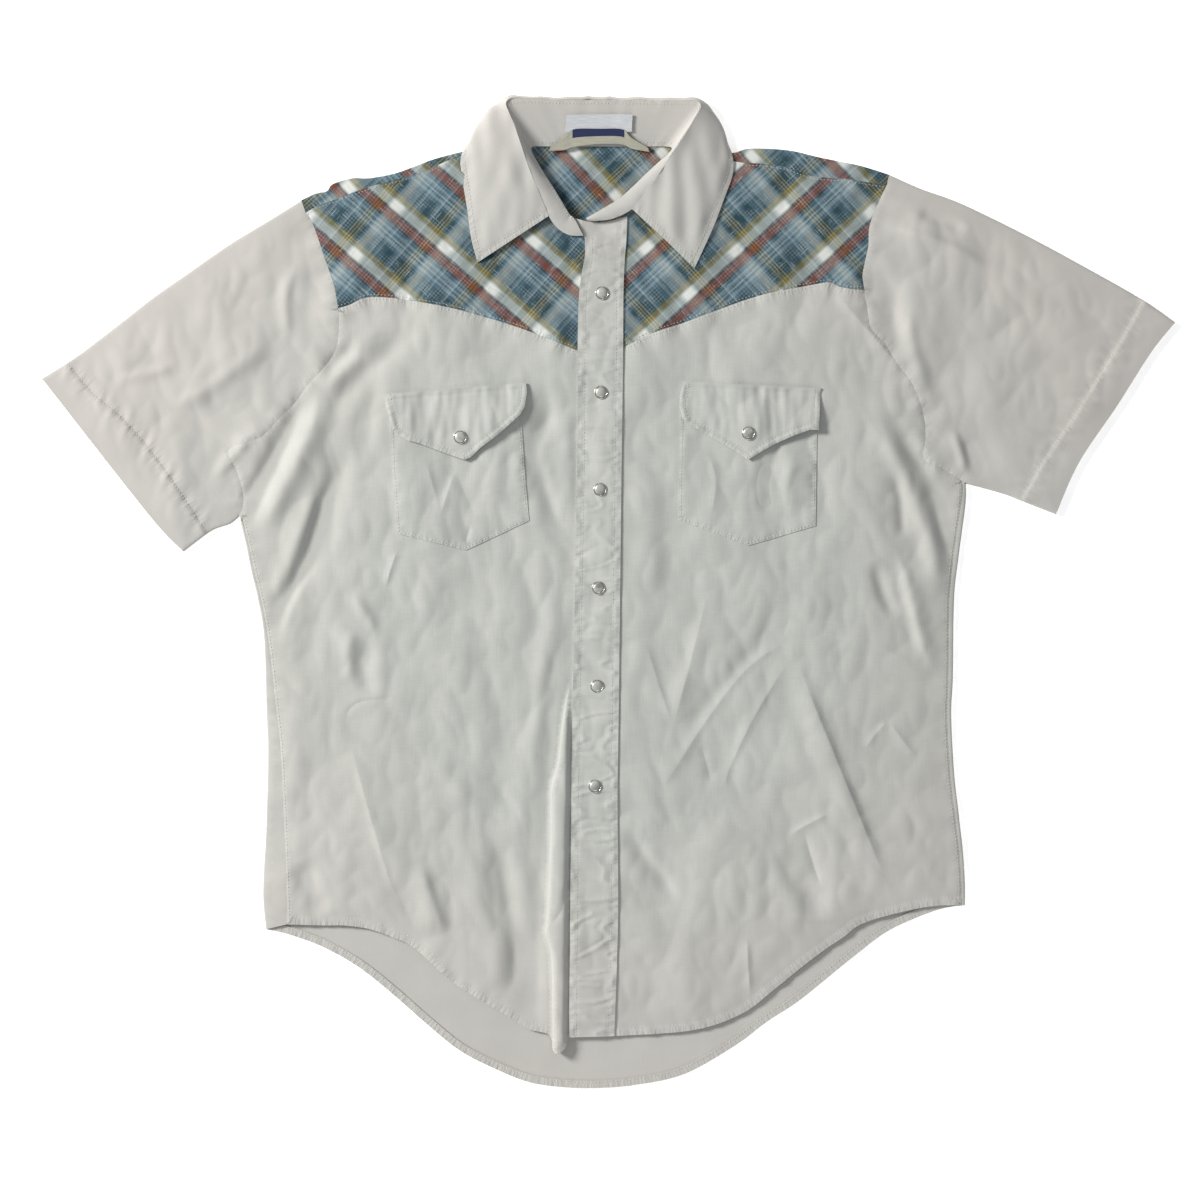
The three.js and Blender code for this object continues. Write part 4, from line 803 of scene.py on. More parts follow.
class FoldedCloth:
    """The points, faces and places in the cloth of a piece that is folded over itself."""

    def __init__(self, place):
        self.place = place
        self.points = np.empty((0, 3))
        self.faces = []

    def add(self, points):
        """Adds points and gives their numbers."""
        first = len(self.points)
        self.points = np.vstack([self.points, points])
        return np.arange(first, len(self.points))

    def lay(self, xy, faces, heights):
        numbers = self.add(np.column_stack([xy, heights]))
        self.faces += [list(numbers[face]) for face in faces]
        return numbers

    def join(self, outline, run, upper, lower):
        """Folds the cloth over along a run of an outline, from its upper to its lower points."""
        between_them = fold_rows(self.points[upper], self.points[lower], outline, run)
        rows = [upper, *[self.add(row) for row in between_them], lower]
        for a, b in zip(rows, rows[1:]):
            self.faces += [[a[j + 1], a[j], b[j], b[j + 1]] for j in range(len(a) - 1)]


def folded(name, node, material, tops, under, layer, place, spacings, seams=()):
    """Cloth folded over along edges of its under layer. tops are outlines, each with pairs of
    runs that meet in a fold, its own and the under layer's."""
    cloth = FoldedCloth(place)
    under_xy, under_faces = fill(under, spacings[1])
    low = cloth.lay(under_xy, under_faces[:, ::-1], np.zeros(len(under_xy)))
    for outline, pairs in tops:
        xy, faces = fill(outline, spacings[0])
        high = cloth.lay(xy, faces, layer(xy))
        for run, under_run in pairs:
            cloth.join(outline, run, high[run], low[under_run])
    xy = cloth.points[:, :2]
    seam_uv = seam_places(xy, seams) if seams else None
    piece = new_object(name, cloth.points, cloth.faces, place(xy), seam_uv)
    return finish_piece(piece, node, [material], CLOTH)


def section_sheet(name, node, material, sections, thickness, seam_uv=None):
    """Cloth through rows of points, half its thickness on either side of them."""
    rows, columns, _ = sections.shape
    index = np.arange(rows * columns).reshape(rows, columns)
    quads = np.stack([index[:-1, :-1], index[:-1, 1:], index[1:, 1:], index[1:, :-1]], axis=-1)
    along = np.cumsum(np.r_[0, np.linalg.norm(np.diff(sections[:, 0], axis=0), axis=1)])
    across = np.cumsum(np.r_[0, np.linalg.norm(np.diff(sections[rows // 2], axis=0), axis=1)])
    uv = np.stack(np.meshgrid(along, across, indexing="ij"), axis=-1).reshape(-1, 2) * MM
    piece = new_object(name, sections.reshape(-1, 3), quads.reshape(-1, 4), uv, seam_uv)
    finish_piece(piece, node, [material], thickness)
    piece.modifiers["Thickness"].offset = 0
    return piece


def between(sections, parts):
    """Rows added between those of a table of sections, on smooth curves through them."""
    last = len(sections) - 1
    rows = []
    for i in range(last):
        a, b, c, d = sections[np.clip([i - 1, i, i + 1, i + 2], 0, last)]
        rows += [catmull_rom(a, b, c, d, p / parts) for p in range(parts)]
    return np.array(rows + [sections[-1]])


# Stitches

def resample(line, pitch):
    """Points along a line in space, pitch apart."""
    steps = np.linalg.norm(np.diff(line, axis=0), axis=1)
    run = np.r_[0, np.cumsum(steps)]
    places = np.arange(0, run[-1], pitch)
    return np.stack([np.interp(places, run, line[:, k]) for k in range(3)], axis=1)


def stitches(name, lines, material):
    """Small lens-shaped stitches along lines in space, all of them one mesh."""
    points, faces = [], []
    for line in lines:
        dense = resample(np.asarray(line, float), STITCH_STEP)
        every = round(STITCH["pitch"] / STITCH_STEP)
        reach = round(STITCH["length"] / STITCH_STEP)
        for i in range(0, len(dense) - reach, every):
            start, end = dense[i], dense[i + reach]
            middle = dense[i + reach // 2]
            along = (end - start) / np.linalg.norm(end - start)
            side = np.cross(along, (0, 0, 1))
            side *= STITCH["width"] / 2 / np.linalg.norm(side)
            up = np.array((0, 0, STITCH["height"]))
            first = len(points)
            points += [start, end, middle + side, middle + up, middle - side, middle - up]
            for j in range(4):
                a, b = first + 2 + j, first + 2 + (j + 1) % 4
                faces += [(first, b, a), (first + 1, a, b)]
    piece = new_object(name, points, faces)
    return finish_piece(piece, None, [material])


def on_layer(line, layer, lift=0.12):
    """A line in the plane put on the outer surface of a layer."""
    line = np.asarray(line, float)
    return np.column_stack([line, layer(line) + lift])


# Materials

class Nodes:
    """A short way to write a material's nodes."""

    def __init__(self, name):
        self.material = bpy.data.materials.new(name)
        self.material.use_nodes = True
        self.tree = self.material.node_tree
        self.shader = self.tree.nodes["Principled BSDF"]

    def add(self, kind, settings=None, **inputs):
        node = self.tree.nodes.new(kind)
        for key, value in (settings or {}).items():
            setattr(node, key, value)
        for key, value in inputs.items():
            by_number = key[0] == "i" and key[1:].isdigit()
            self.put(value, node.inputs[int(key[1:]) if by_number else key])
        return node

    def put(self, value, socket):
        if isinstance(value, bpy.types.NodeSocket):
            self.tree.links.new(value, socket)
        else:
            socket.default_value = value

    def math(self, operation, a, b=0.0, clamp=False):
        settings = {"operation": operation, "use_clamp": clamp}
        return self.add("ShaderNodeMath", settings, i0=a, i1=b).outputs[0]

    def mix(self, share, a, b, blend="MIX"):
        node = self.add("ShaderNodeMix", {"data_type": "RGBA", "blend_type": blend})
        for socket, value in zip((node.inputs[0], node.inputs[6], node.inputs[7]), (share, a, b)):
            self.put(value, socket)
        return node.outputs[2]

    def noise(self, vector, scale, detail=2.0, dimensions="2D"):
        node = self.add("ShaderNodeTexNoise", {"noise_dimensions": dimensions}, Vector=vector)
        node.inputs["Scale"].default_value = scale
        node.inputs["Detail"].default_value = detail
        return node.outputs["Fac"]

    def stretch(self, vector, x, y, z=1.0):
        return self.add("ShaderNodeMapping", Vector=vector, Scale=(x, y, z)).outputs[0]

    def span(self, value, low, high, to_low=0.0, to_high=1.0):
        node = self.add("ShaderNodeMapRange", Value=value)
        limits = {"From Min": low, "From Max": high, "To Min": to_low, "To Max": to_high}
        for key, number in limits.items():
            node.inputs[key].default_value = number
        return node.outputs[0]

    def bump(self, height, distance):
        node = self.add("ShaderNodeBump", Height=height)
        node.inputs["Distance"].default_value = distance
        node.inputs["Strength"].default_value = 1.0
        self.tree.links.new(node.outputs[0], self.shader.inputs["Normal"])

    def finish(self, color, roughness, **sockets):
        self.put(color, self.shader.inputs["Base Color"])
        self.put(roughness, self.shader.inputs["Roughness"])
        for key, value in sockets.items():
            self.shader.inputs[key.replace("_", " ")].default_value = value
        return self.material


def srgb(red, green, blue):
    """A colour given as 0 to 255 screen values."""
    def linear(value):
        value /= 255
        return value / 12.92 if value <= 0.04045 else ((value + 0.055) / 1.055) ** 2.4
    return (linear(red), linear(green), linear(blue), 1.0)


def thread_noise(nodes, place, thread=0.0009, run=0.014):
    """Uneven threads along both directions of the weave, around 0.5."""
    warp = nodes.noise(nodes.stretch(place, 1 / thread, 1 / run), 1.0)
    weft = nodes.noise(nodes.stretch(place, 1 / run, 1 / thread), 1.0)
    return nodes.math("MULTIPLY", nodes.math("ADD", warp, weft), 0.5)


def seam_ripples(nodes):
    """Short ripples across the seams, in millimetres, from the places that Seams holds."""
    place = nodes.add("ShaderNodeUVMap", {"uv_map": "Seams"}).outputs[0]
    off = nodes.add("ShaderNodeSeparateXYZ", Vector=place).outputs[1]
    ripple = nodes.noise(nodes.stretch(place, 1.0, 0.4), 1.0, 2.0)
    fade = nodes.math("EXPONENT", nodes.math("MULTIPLY", nodes.math("MULTIPLY", off, off), -1.0))
    height = nodes.math("MULTIPLY", fade, 0.75)
    return nodes.math("MULTIPLY", nodes.math("SUBTRACT", ripple, 0.5), height)


def chambray(name, light, dark, warm):
    """Fine plain weave of grey and white threads, a little warmer away from the chest."""
    nodes = Nodes(name)
    place = nodes.add("ShaderNodeUVMap", {"uv_map": "Cloth"}).outputs[0]
    threads = thread_noise(nodes, place)
    slubs = nodes.noise(nodes.stretch(place, 1 / 0.0014, 1 / 0.03), 1.0, 1.0)
    clouds = nodes.noise(place, 26.0, 3.0)
    color = nodes.mix(nodes.span(threads, 0.3, 0.7), dark, light)
    color = nodes.mix(nodes.span(slubs, 0.62, 0.8, 0.0, 0.14), color, srgb(228, 229, 225))
    where = nodes.add("ShaderNodeTexCoord").outputs["Object"]
    from_chest = nodes.add("ShaderNodeVectorMath", {"operation": "LENGTH"}, i0=where).outputs["Value"]
    color = nodes.mix(nodes.span(from_chest, 0.2, 0.45, 0.0, 0.85), color, warm)
    tone = nodes.span(clouds, 0.3, 0.7, 0.965, 1.02)
    shade = nodes.add("ShaderNodeCombineColor", Red=tone, Green=tone, Blue=tone).outputs[0]
    color = nodes.mix(1.0, color, shade, "MULTIPLY")
    rough = nodes.math("MULTIPLY", threads, 0.07)
    nodes.bump(nodes.math("ADD", rough, seam_ripples(nodes)), 0.001)
    return nodes.finish(color, 0.92, Sheen_Weight=0.1, Sheen_Roughness=0.5, Specular_IOR_Level=0.25)


# Stripes of the plaid across one repeat. start is in millimetres from the first one.
PLAID_REPEAT = 54.3
FINE_LINES = 21  # thin pale lines in one repeat
BROWN = srgb(122, 66, 48)
CREAM = srgb(186, 192, 184)
OLIVE = srgb(136, 124, 62)
TEAL = srgb(48, 76, 86)
BLUE = srgb(84, 112, 126)
PALE = srgb(148, 166, 172)
MUSTARD = srgb(150, 136, 72)
INK = srgb(40, 56, 62)
WHITE = srgb(246, 246, 240)
STRIPES_A = [
    (0, BROWN), (7.8, INK), (8.6, CREAM), (17.2, OLIVE), (22.2, TEAL), (36, BLUE), (40, PALE),
    (41, BLUE), (44, PALE), (45, BLUE), (48, PALE), (49, BLUE), (53.4, INK),
]
STRIPES_B = [
    (0, MUSTARD), (1.4, INK), (2.6, MUSTARD), (4, INK), (5.2, MUSTARD), (6.6, TEAL), (12, PALE),
    (14, CREAM), (20, PALE), (27, BLUE), (30, PALE), (31, BLUE), (37, TEAL), (42.5, BLUE),
    (46, PALE), (47, TEAL),
]


def set_stops(ramp, stops):
    while len(ramp.elements) < len(stops):
        ramp.elements.new(0.5)
    for element, (position, color) in zip(ramp.elements, stops):
        element.position = position
        element.color = color


def stripes(nodes, value, table):
    """Bands of colour over one repeat, with slightly soft edges."""
    share = nodes.math("FRACT", value)
    node = nodes.add("ShaderNodeValToRGB", Fac=share)
    ends = [start for start, _ in table[1:]] + [PLAID_REPEAT]
    stops = []
    for (start, color), end in zip(table, ends):
        soft = min(1.1, 0.3 * (end - start))
        stops += [((start + soft) / PLAID_REPEAT, color), ((end - soft) / PLAID_REPEAT, color)]
    set_stops(node.color_ramp, stops)
    return node.outputs["Color"]


def bright_band(nodes, value, middle, reach):
    """1 at the middle of a band of the plaid, falling to 0 at its edges."""
    off = nodes.math("SUBTRACT", nodes.math("FRACT", value), middle / PLAID_REPEAT)
    return nodes.span(nodes.math("ABSOLUTE", off), reach / PLAID_REPEAT, 0.5 * reach / PLAID_REPEAT)


def plaid_cloth(name):
    """Slubby plaid on the bias. The cloth's places are in repeats along both threads."""
    nodes = Nodes(name)
    place = nodes.add("ShaderNodeUVMap", {"uv_map": "Cloth"}).outputs[0]
    wander = nodes.noise(nodes.stretch(place, 7.0, 7.0), 1.0)
    parts = nodes.add("ShaderNodeSeparateXYZ", Vector=place)
    shift = nodes.math("MULTIPLY", nodes.math("SUBTRACT", wander, 0.5), 0.02)
    warp = stripes(nodes, nodes.math("ADD", parts.outputs[0], shift), STRIPES_A)
    weft = stripes(nodes, nodes.math("ADD", parts.outputs[1], shift), STRIPES_B)
    thread = PLAID_REPEAT / 0.8
    run = PLAID_REPEAT / 18
    warp_noise = nodes.noise(nodes.stretch(place, thread, run), 1.0, 1.0)
    weft_noise = nodes.noise(nodes.stretch(place, run, thread), 1.0, 1.0)
    over = nodes.span(nodes.math("SUBTRACT", weft_noise, warp_noise), -0.25, 0.25, 0.38, 0.48)
    is_brown = nodes.math("LESS_THAN", nodes.math("FRACT", parts.outputs[0]), 7.8 / PLAID_REPEAT)
    over = nodes.math("MULTIPLY", over, nodes.span(is_brown, 0, 1, 1.0, 0.6))
    color = nodes.mix(over, warp, weft)
    crossing = nodes.math("MULTIPLY", bright_band(nodes, parts.outputs[0], 12.9, 5.2),
                          bright_band(nodes, parts.outputs[1], 18, 8))
    color = nodes.mix(nodes.math("MULTIPLY", crossing, 0.75), color, WHITE)
    for part in parts.outputs[:2]:
        line_share = nodes.math("FRACT", nodes.math("MULTIPLY", part, FINE_LINES))
        is_line = nodes.math("LESS_THAN", line_share, 0.3)
        patches = nodes.noise(nodes.stretch(place, 6.0, 6.0), 1.0)
        strength = nodes.span(patches, 0.35, 0.65, 0.0, 0.15)
        color = nodes.mix(nodes.math("MULTIPLY", is_line, strength), color, srgb(206, 216, 220))
    color = nodes.mix(nodes.span(warp_noise, 0.755, 0.79, 0.0, 0.85), color, CREAM)
    color = nodes.mix(nodes.span(weft_noise, 0.755, 0.79, 0.0, 0.85), color, CREAM)
    color = nodes.mix(nodes.span(warp_noise, 0.34, 0.24, 0.0, 0.25), color, INK)
    rough = nodes.math("MULTIPLY", nodes.math("ADD", warp_noise, weft_noise), 0.12)
    nodes.bump(nodes.math("ADD", rough, seam_ripples(nodes)), 0.001)
    return nodes.finish(color, 0.9, Sheen_Weight=0.08, Sheen_Roughness=0.5, Specular_IOR_Level=0.25)


def thread_material(name, color):
    nodes = Nodes(name)
    where = nodes.add("ShaderNodeTexCoord").outputs["Object"]
    twist = nodes.noise(where, 900.0, 2.0, "3D")
    nodes.bump(twist, 0.0001)
    shade = nodes.mix(nodes.span(twist, 0.3, 0.7), color, srgb(232, 232, 226))
    return nodes.finish(shade, 0.7, Specular_IOR_Level=0.3)


def label_material(name, color, line, thread, band=None):
    """Close satin weave with fine ribs along the label. band is a plain coloured stretch."""
    nodes = Nodes(name)
    place = nodes.add("ShaderNodeUVMap", {"uv_map": "Cloth"}).outputs[0]
    ribs = nodes.noise(nodes.stretch(place, 1 / 0.01, 1 / thread), 1.0)
    shade = nodes.mix(nodes.span(ribs, 0.35, 0.65), line, color)
    if band:
        start, end, low, tint = band
        parts = nodes.add("ShaderNodeSeparateXYZ", Vector=place).outputs
        inside = nodes.math("MULTIPLY", nodes.math("GREATER_THAN", parts[0], start),
                            nodes.math("LESS_THAN", parts[0], end))
        inside = nodes.math("MULTIPLY", inside, nodes.math("GREATER_THAN", parts[1], low))
        shade = nodes.mix(inside, shade, tint)
    nodes.bump(ribs, 0.00015)
    return nodes.finish(shade, 0.55, Specular_IOR_Level=0.4, Sheen_Weight=0.2)


def steel_material(name):
    nodes = Nodes(name)
    where = nodes.add("ShaderNodeTexCoord").outputs["Object"]
    wear = nodes.noise(where, 700.0, 3.0, "3D")
    color = nodes.mix(nodes.span(wear, 0.35, 0.7), srgb(196, 196, 190), srgb(226, 226, 222))
    rough = nodes.span(wear, 0.3, 0.7, 0.18, 0.34)
    return nodes.finish(color, rough, Metallic=1.0)


def pearl_material(name):
    """Pearly plastic: soft bands of grey, white and a little green and rose."""
    nodes = Nodes(name)
    where = nodes.add("ShaderNodeTexCoord").outputs["Object"]
    swirl = nodes.add("ShaderNodeTexNoise", {"noise_dimensions": "3D"}, Vector=where)
    swirl.inputs["Scale"].default_value = 90.0
    swirl.inputs["Detail"].default_value = 1.0
    swirl.inputs["Distortion"].default_value = 0.8
    ramp = nodes.add("ShaderNodeValToRGB", Fac=swirl.outputs["Fac"])
    tones = [(0.3, srgb(150, 152, 144)), (0.45, srgb(186, 187, 178)), (0.58, srgb(214, 214, 205)),
             (0.7, srgb(196, 192, 184))]
    set_stops(ramp.color_ramp, tones)
    return nodes.finish(ramp.outputs["Color"], 0.3, Metallic=0.3, Coat_Weight=1.0, Coat_Roughness=0.12)


GREY = chambray("grey_chambray", srgb(202, 203, 197), srgb(194, 196, 190), srgb(207, 202, 196))
PLAID = plaid_cloth("plaid_cloth")
THREAD = thread_material("sewing_thread", srgb(206, 206, 200))
WHITE_LABEL = label_material("white_label", srgb(226, 229, 232), srgb(204, 208, 212), 0.0004)
LOOP_WEAVE = label_material("loop_label", srgb(196, 194, 176), srgb(176, 174, 158), 0.0005,
                            (0.0205, 0.0655, 0.0065, srgb(38, 46, 86)))
STEEL = steel_material("snap_ring")
PEARL = pearl_material("snap_cap")

# Pieces

def line(name):
    return smooth(EDGE[name])


def hem_form(xy, edge, width=HEM_WIDTH, rise=0.35):
    """The doubled cloth between an edge and the stitches of its hem."""
    distance, _, _, _ = near_line(xy, edge)
    return rise * (1 - smoothstep(distance, width - 1, width + 0.4)) - 0.25 * np.exp(
        -(((distance - width) / 0.9) ** 2))


def pillow(xy, outline, rise, reach):
    """A piece that is sewn down at its edges and stands a little proud between them."""
    distance, _, _, _ = near_line(xy, np.vstack([outline, outline[:1]]))
    return rise * (1 - np.exp(-((distance / reach) ** 2)))


def front_form(side):
    seed = {"right": 1.0, "left": 5.0}[side]

    def form(xy):
        return (hem_form(xy, line(f"{side}_hem"))
                + (pleat(xy) if side == "right" else 0)
                + puckers(xy, line(f"{side}_hem"), 9, 0.5, 9, seed, 0.4)
                + seam_form(xy, side, "yoke_seam", "side_seam", "armhole_low"))
    return form


def yoke_form(side):
    def form(xy):
        return seam_form(xy, side, "yoke_seam", "armhole_high")
    return form


def body_seams(side):
    """Where a front or yoke ripples: line, spacing of the ripples and their reach."""
    return [(line(f"{side}_hem"), 2.6, 5), (line(f"{side}_yoke_seam"), 3.4, 6),
            (line(f"{side}_side_seam"), 5, 5), (line(f"{side}_armhole_low"), 5.5, 5),
            (line(f"{side}_armhole_high"), 5.5, 5)]


def placket_form(xy):
    left, _, _, _ = near_line(xy, smooth(PLACKET["left"]))
    right, _, _, _ = near_line(xy, smooth(PLACKET["right"]))
    from_edge = np.minimum(left, right)
    low = smoothstep(-xy[:, 1], -150, 250)
    across = waves(xy, 34, 13, 11.2)
    creases = 0.75 * np.exp(-np.abs(across) / 0.07) - 0.55 * np.exp(-np.abs(across - 0.2) / 0.06)
    short = waves(xy, 9, 4.6, 4.4) * np.exp(-(((from_edge - 4) / 4) ** 2))
    ripples = (1.5 * across + 1.2 * creases) * (0.6 + 0.4 * low) + 1.1 * short
    ripples *= smoothstep(from_edge, 0, 4)
    groove = -0.25 * np.exp(-(((from_edge - PLACKET_STITCH) / 1.1) ** 2))
    around_snaps = sum(
        -0.5 * np.exp(-(np.hypot(*(xy - np.array(place)).T) / 8) ** 2) for place in PLACKET_SNAPS)
    return np.maximum(ripples + groove + around_snaps, -PLACKET_DIP)


def sleeve_form(side):
    hem = smooth(SLEEVE_HEMS[side])

    def form(xy):
        distance, run, across, _ = near_line(xy, hem)
        beyond = across if side == "left" else -across
        band = 0.8 * smoothstep(beyond * distance, -0.9, 0.9)
        groove = -0.25 * np.exp(-((distance / 0.9) ** 2))
        return (band + groove + puckers(xy, hem, 8, 0.7, 10, 12.0, 0.5)
                + seam_form(xy, side, "armhole_high", "armhole_low"))
    return form


def wraps(side_names, floor_runs):
    """Strips that an under panel wraps over its two folded edges, up to their seams."""
    fold_name, seam_name = side_names
    strips = []
    for side, floor_run in (("right", floor_runs[0]), ("left", floor_runs[2])):
        fold, seam = EDGE[f"{side}_{fold_name}"], EDGE[f"{side}_{seam_name}"]
        outline, runs = outline_of(
            (fold, FOLD_ROUND), [fold[-1], seam[-1]], backwards(seam), [seam[0], fold[0]])
        strips.append((outline, [(runs[0], floor_run)]))
    return strips


def plaid_place(angle, phase, flip=1):
    """Places in the plaid in repeats. angle is the direction across the brown stripes."""
    c, s = math.cos(math.radians(angle)), math.sin(math.radians(angle))

    def place(xy):
        across = xy[:, 0] * c + xy[:, 1] * s
        along = flip * (xy[:, 0] * s - xy[:, 1] * c)
        return np.stack([(across - phase[0]) / PLAID_REPEAT, (along - phase[1]) / PLAID_REPEAT], axis=1)
    return place


def back():
    floor, floor_runs = outline_of(
        (EDGE["right_side"], FOLD_ROUND), EDGE["back_hem"], (backwards(EDGE["left_side"]), FOLD_ROUND),
        backwards(EDGE["left_armhole_low"]),
        [EDGE["left_armhole_low"][0], EDGE["right_armhole_low"][-1]],
        backwards(EDGE["right_armhole_low"]))
    strips = wraps(("side", "side_seam"), floor_runs)
    layer = Layer(WALL, lambda xy: sum(seam_form(xy, side, "side_seam") for side in ("right", "left")))
    piece = folded("cloth_back", "back", GREY, strips, floor, layer, grain(),
                   (MESH["back"], MESH["back"]))
    hem_edge = line("back_hem")
    strip, _ = outline_of(EDGE["back_hem"], shifted(hem_edge, HEM_WIDTH)[::-8])

    def hem_height(xy):
        return 1.55 + puckers(xy, hem_edge, 5, 0.35, 6, 15.0, 0.8)
    hem = panel("cloth_back_hem", None, GREY, strip, hem_height, grain(), MESH["hem"],
                0.6, [(hem_edge, 2.4, 6)])
    seams = stitches("stitches_back", [
        on_layer(shifted(hem_edge, HEM_WIDTH - 1.4), hem_height, 0.1)], THREAD)


def back_yoke():
    neck = [EDGE["right_shoulder_fold"][-1], (-66, 384.6), (-5, 384.6), (54, 384.6),
            EDGE["left_shoulder_fold"][0]]
    floor, floor_runs = outline_of(
        (EDGE["right_shoulder_fold"], FOLD_ROUND), neck, (EDGE["left_shoulder_fold"], FOLD_ROUND),
        backwards(EDGE["left_shoulder_tip"]), EDGE["left_armhole_high"],
        [EDGE["left_armhole_high"][-1], EDGE["right_armhole_high"][0]],
        EDGE["right_armhole_high"], EDGE["right_shoulder_tip"])
    strips = wraps(("shoulder_fold", "shoulder_seam"), floor_runs)
    piece = folded("cloth_back_yoke", "back_yoke", PLAID, strips, floor, Layer(WALL),
                   plaid_place(43, (7, 10)), (MESH["back_yoke"], MESH["back_yoke"]))


def fronts():
    outlines = {
        "right": outline_of(
            EDGE["right_side_seam"], EDGE["right_hem"], backwards(EDGE["centre"][3:]),
            backwards(EDGE["right_yoke_seam"]), backwards(EDGE["right_armhole_low"]),
            [EDGE["right_armhole_low"][0], EDGE["right_side_seam"][0]]),
        "left": outline_of(
            EDGE["left_hem"], backwards(EDGE["left_side_seam"]),
            backwards(EDGE["left_armhole_low"][:-1]), backwards(EDGE["left_yoke_seam"]),
            [EDGE["left_yoke_seam"][0]] + EDGE["centre"][4:]),
    }
    hems = {"right": smooth(EDGE["right_hem"][:11]), "left": line("left_hem")}
    inward = {"right": SEAM_STITCH, "left": -SEAM_STITCH}
    for side, (outline, _) in outlines.items():
        layer = Layer(WALL, front_form(side))
        piece = panel(f"cloth_front_{side}", f"front_{side}", GREY, outline, layer,
                      grain(), MESH["front"], seams=body_seams(side))
        seams = stitches(f"stitches_front_{side}", [
            on_layer(shifted(hems[side], HEM_WIDTH), layer),
            on_layer(shifted(line(f"{side}_yoke_seam"), -SEAM_STITCH), layer),
            on_layer(shifted(line(f"{side}_side_seam"), inward[side]), layer)], THREAD)


def front_yokes():
    outlines = {
        "right": outline_of(
            EDGE["right_shoulder_seam"], [EDGE["right_shoulder_seam"][-1], EDGE["right_neck"][0]],
            EDGE["right_neck"], EDGE["centre"][:4], backwards(EDGE["right_yoke_seam"]),
            EDGE["right_armhole_high"]),
        "left": outline_of(
            EDGE["left_neck"], [EDGE["left_neck"][-1], EDGE["left_shoulder_seam"][0]],
            EDGE["left_shoulder_seam"], EDGE["left_armhole_high"],
            backwards(EDGE["left_yoke_seam"]),
            [EDGE["left_yoke_seam"][0]] + backwards(EDGE["centre"][:3])),
    }
    places = {"right": plaid_place(49, (9.5, 8)), "left": plaid_place(132.9, (19, -26), -1)}
    for side, (outline, _) in outlines.items():
        layer = Layer(WALL, yoke_form(side))
        piece = panel(f"cloth_front_yoke_{side}", f"front_yoke_{side}", PLAID, outline,
                      layer, places[side], MESH["front"], seams=body_seams(side))
        seams = stitches(f"stitches_yoke_{side}", [
            on_layer(shifted(line(f"{side}_yoke_seam"), SEAM_STITCH), layer),
            on_layer(shifted(line(f"{side}_shoulder_seam"), -SEAM_STITCH), layer)],
            THREAD)


PLACKET_LAYER = Layer(ON_FRONT, placket_form, 1)


def placket():
    outline, _ = outline_of(
        PLACKET["left"], [PLACKET["left"][-1], PLACKET["right"][0]], PLACKET["right"], PLACKET["top"])
    edges = [smooth(PLACKET[side]) for side in ("left", "right")]
    piece = panel("cloth_placket", "placket", GREY, outline, PLACKET_LAYER, grain(),
                  MESH["placket"], DOUBLE, seams=[(edge, 3.2, 7) for edge in edges])
    seams = stitches("stitches_placket", [
        on_layer(shifted(edge, PLACKET_STITCH), PLACKET_LAYER) for edge in edges], THREAD)


def sleeve(side, angle):
    top, cuff, underarm = (EDGE[f"{side}_{part}"] for part in ("sleeve_top", "cuff", "underarm"))
    low, high, tip = (
        EDGE[f"{side}_{part}"] for part in ("armhole_low", "armhole_high", "shoulder_tip"))
    armhole = [low, high, tip] if side == "right" else [backwards(low), backwards(high), tip]
    outline, runs = outline_of((top, FOLD_ROUND), cuff, (underarm, FOLD_ROUND), *armhole)
    folds = [(runs[0], runs[0]), (runs[2], runs[2])]
    layer = Layer(WALL, sleeve_form(side))
    hem = smooth(SLEEVE_HEMS[side])
    piece = folded(f"cloth_sleeve_{side}", f"sleeve_{side}", GREY, [(outline, folds)],
                   outline, layer, grain(angle), (MESH["sleeve"], 2.5 * MESH["sleeve"]),
                   seams=[(hem, 4.5, 7), (line(f"{side}_armhole_high"), 5.5, 5),
                          (line(f"{side}_armhole_low"), 5.5, 5)])
    seams = stitches(f"stitches_sleeve_{side}", [on_layer(hem, layer)], THREAD)


def straight_outline(points):
    """An outline whose sides are straight and whose corners are sharp."""
    return outline_of(*[[a, b] for a, b in zip(points, points[1:] + points[:1])])[0]


def pocket_form(outline):
    rim = np.vstack([outline, outline[:1]])

    def form(xy):
        creases = 1.5 * sum(crease_height(xy, crease) for crease in POCKET_CREASES)
        from_rim, _, _, _ = near_line(xy, rim)
        ripples = puckers(xy, rim, 12, 0.5, 8, 16.0) * smoothstep(from_rim, 0, 4)
        return pillow(xy, outline, 0.4, 4) + ripples + creases
    return form


def pockets():
    for name, points in POCKETS.items():
        outline = straight_outline(points)
        layer = Layer(POCKET_FACE, pocket_form(outline))
        sewn = np.vstack([points[-1:], points, points[:1]])[1:-1]
        piece = panel(f"cloth_{name}", name, GREY, outline, layer, grain(1.5),
                      MESH["pocket"], 0.5, seams=[(sewn, 3.6, 5)])
        edge = shifted(resample_flat(points, 2.0), 1.9)
        seams = stitches(f"stitches_{name}", [on_layer(edge, layer)], THREAD)


def resample_flat(points, pitch):
    """Points along straight lines between the points, pitch apart."""
    places = resample(np.column_stack([np.array(points, float), np.zeros(len(points))]), pitch)
    return places[:, :2]


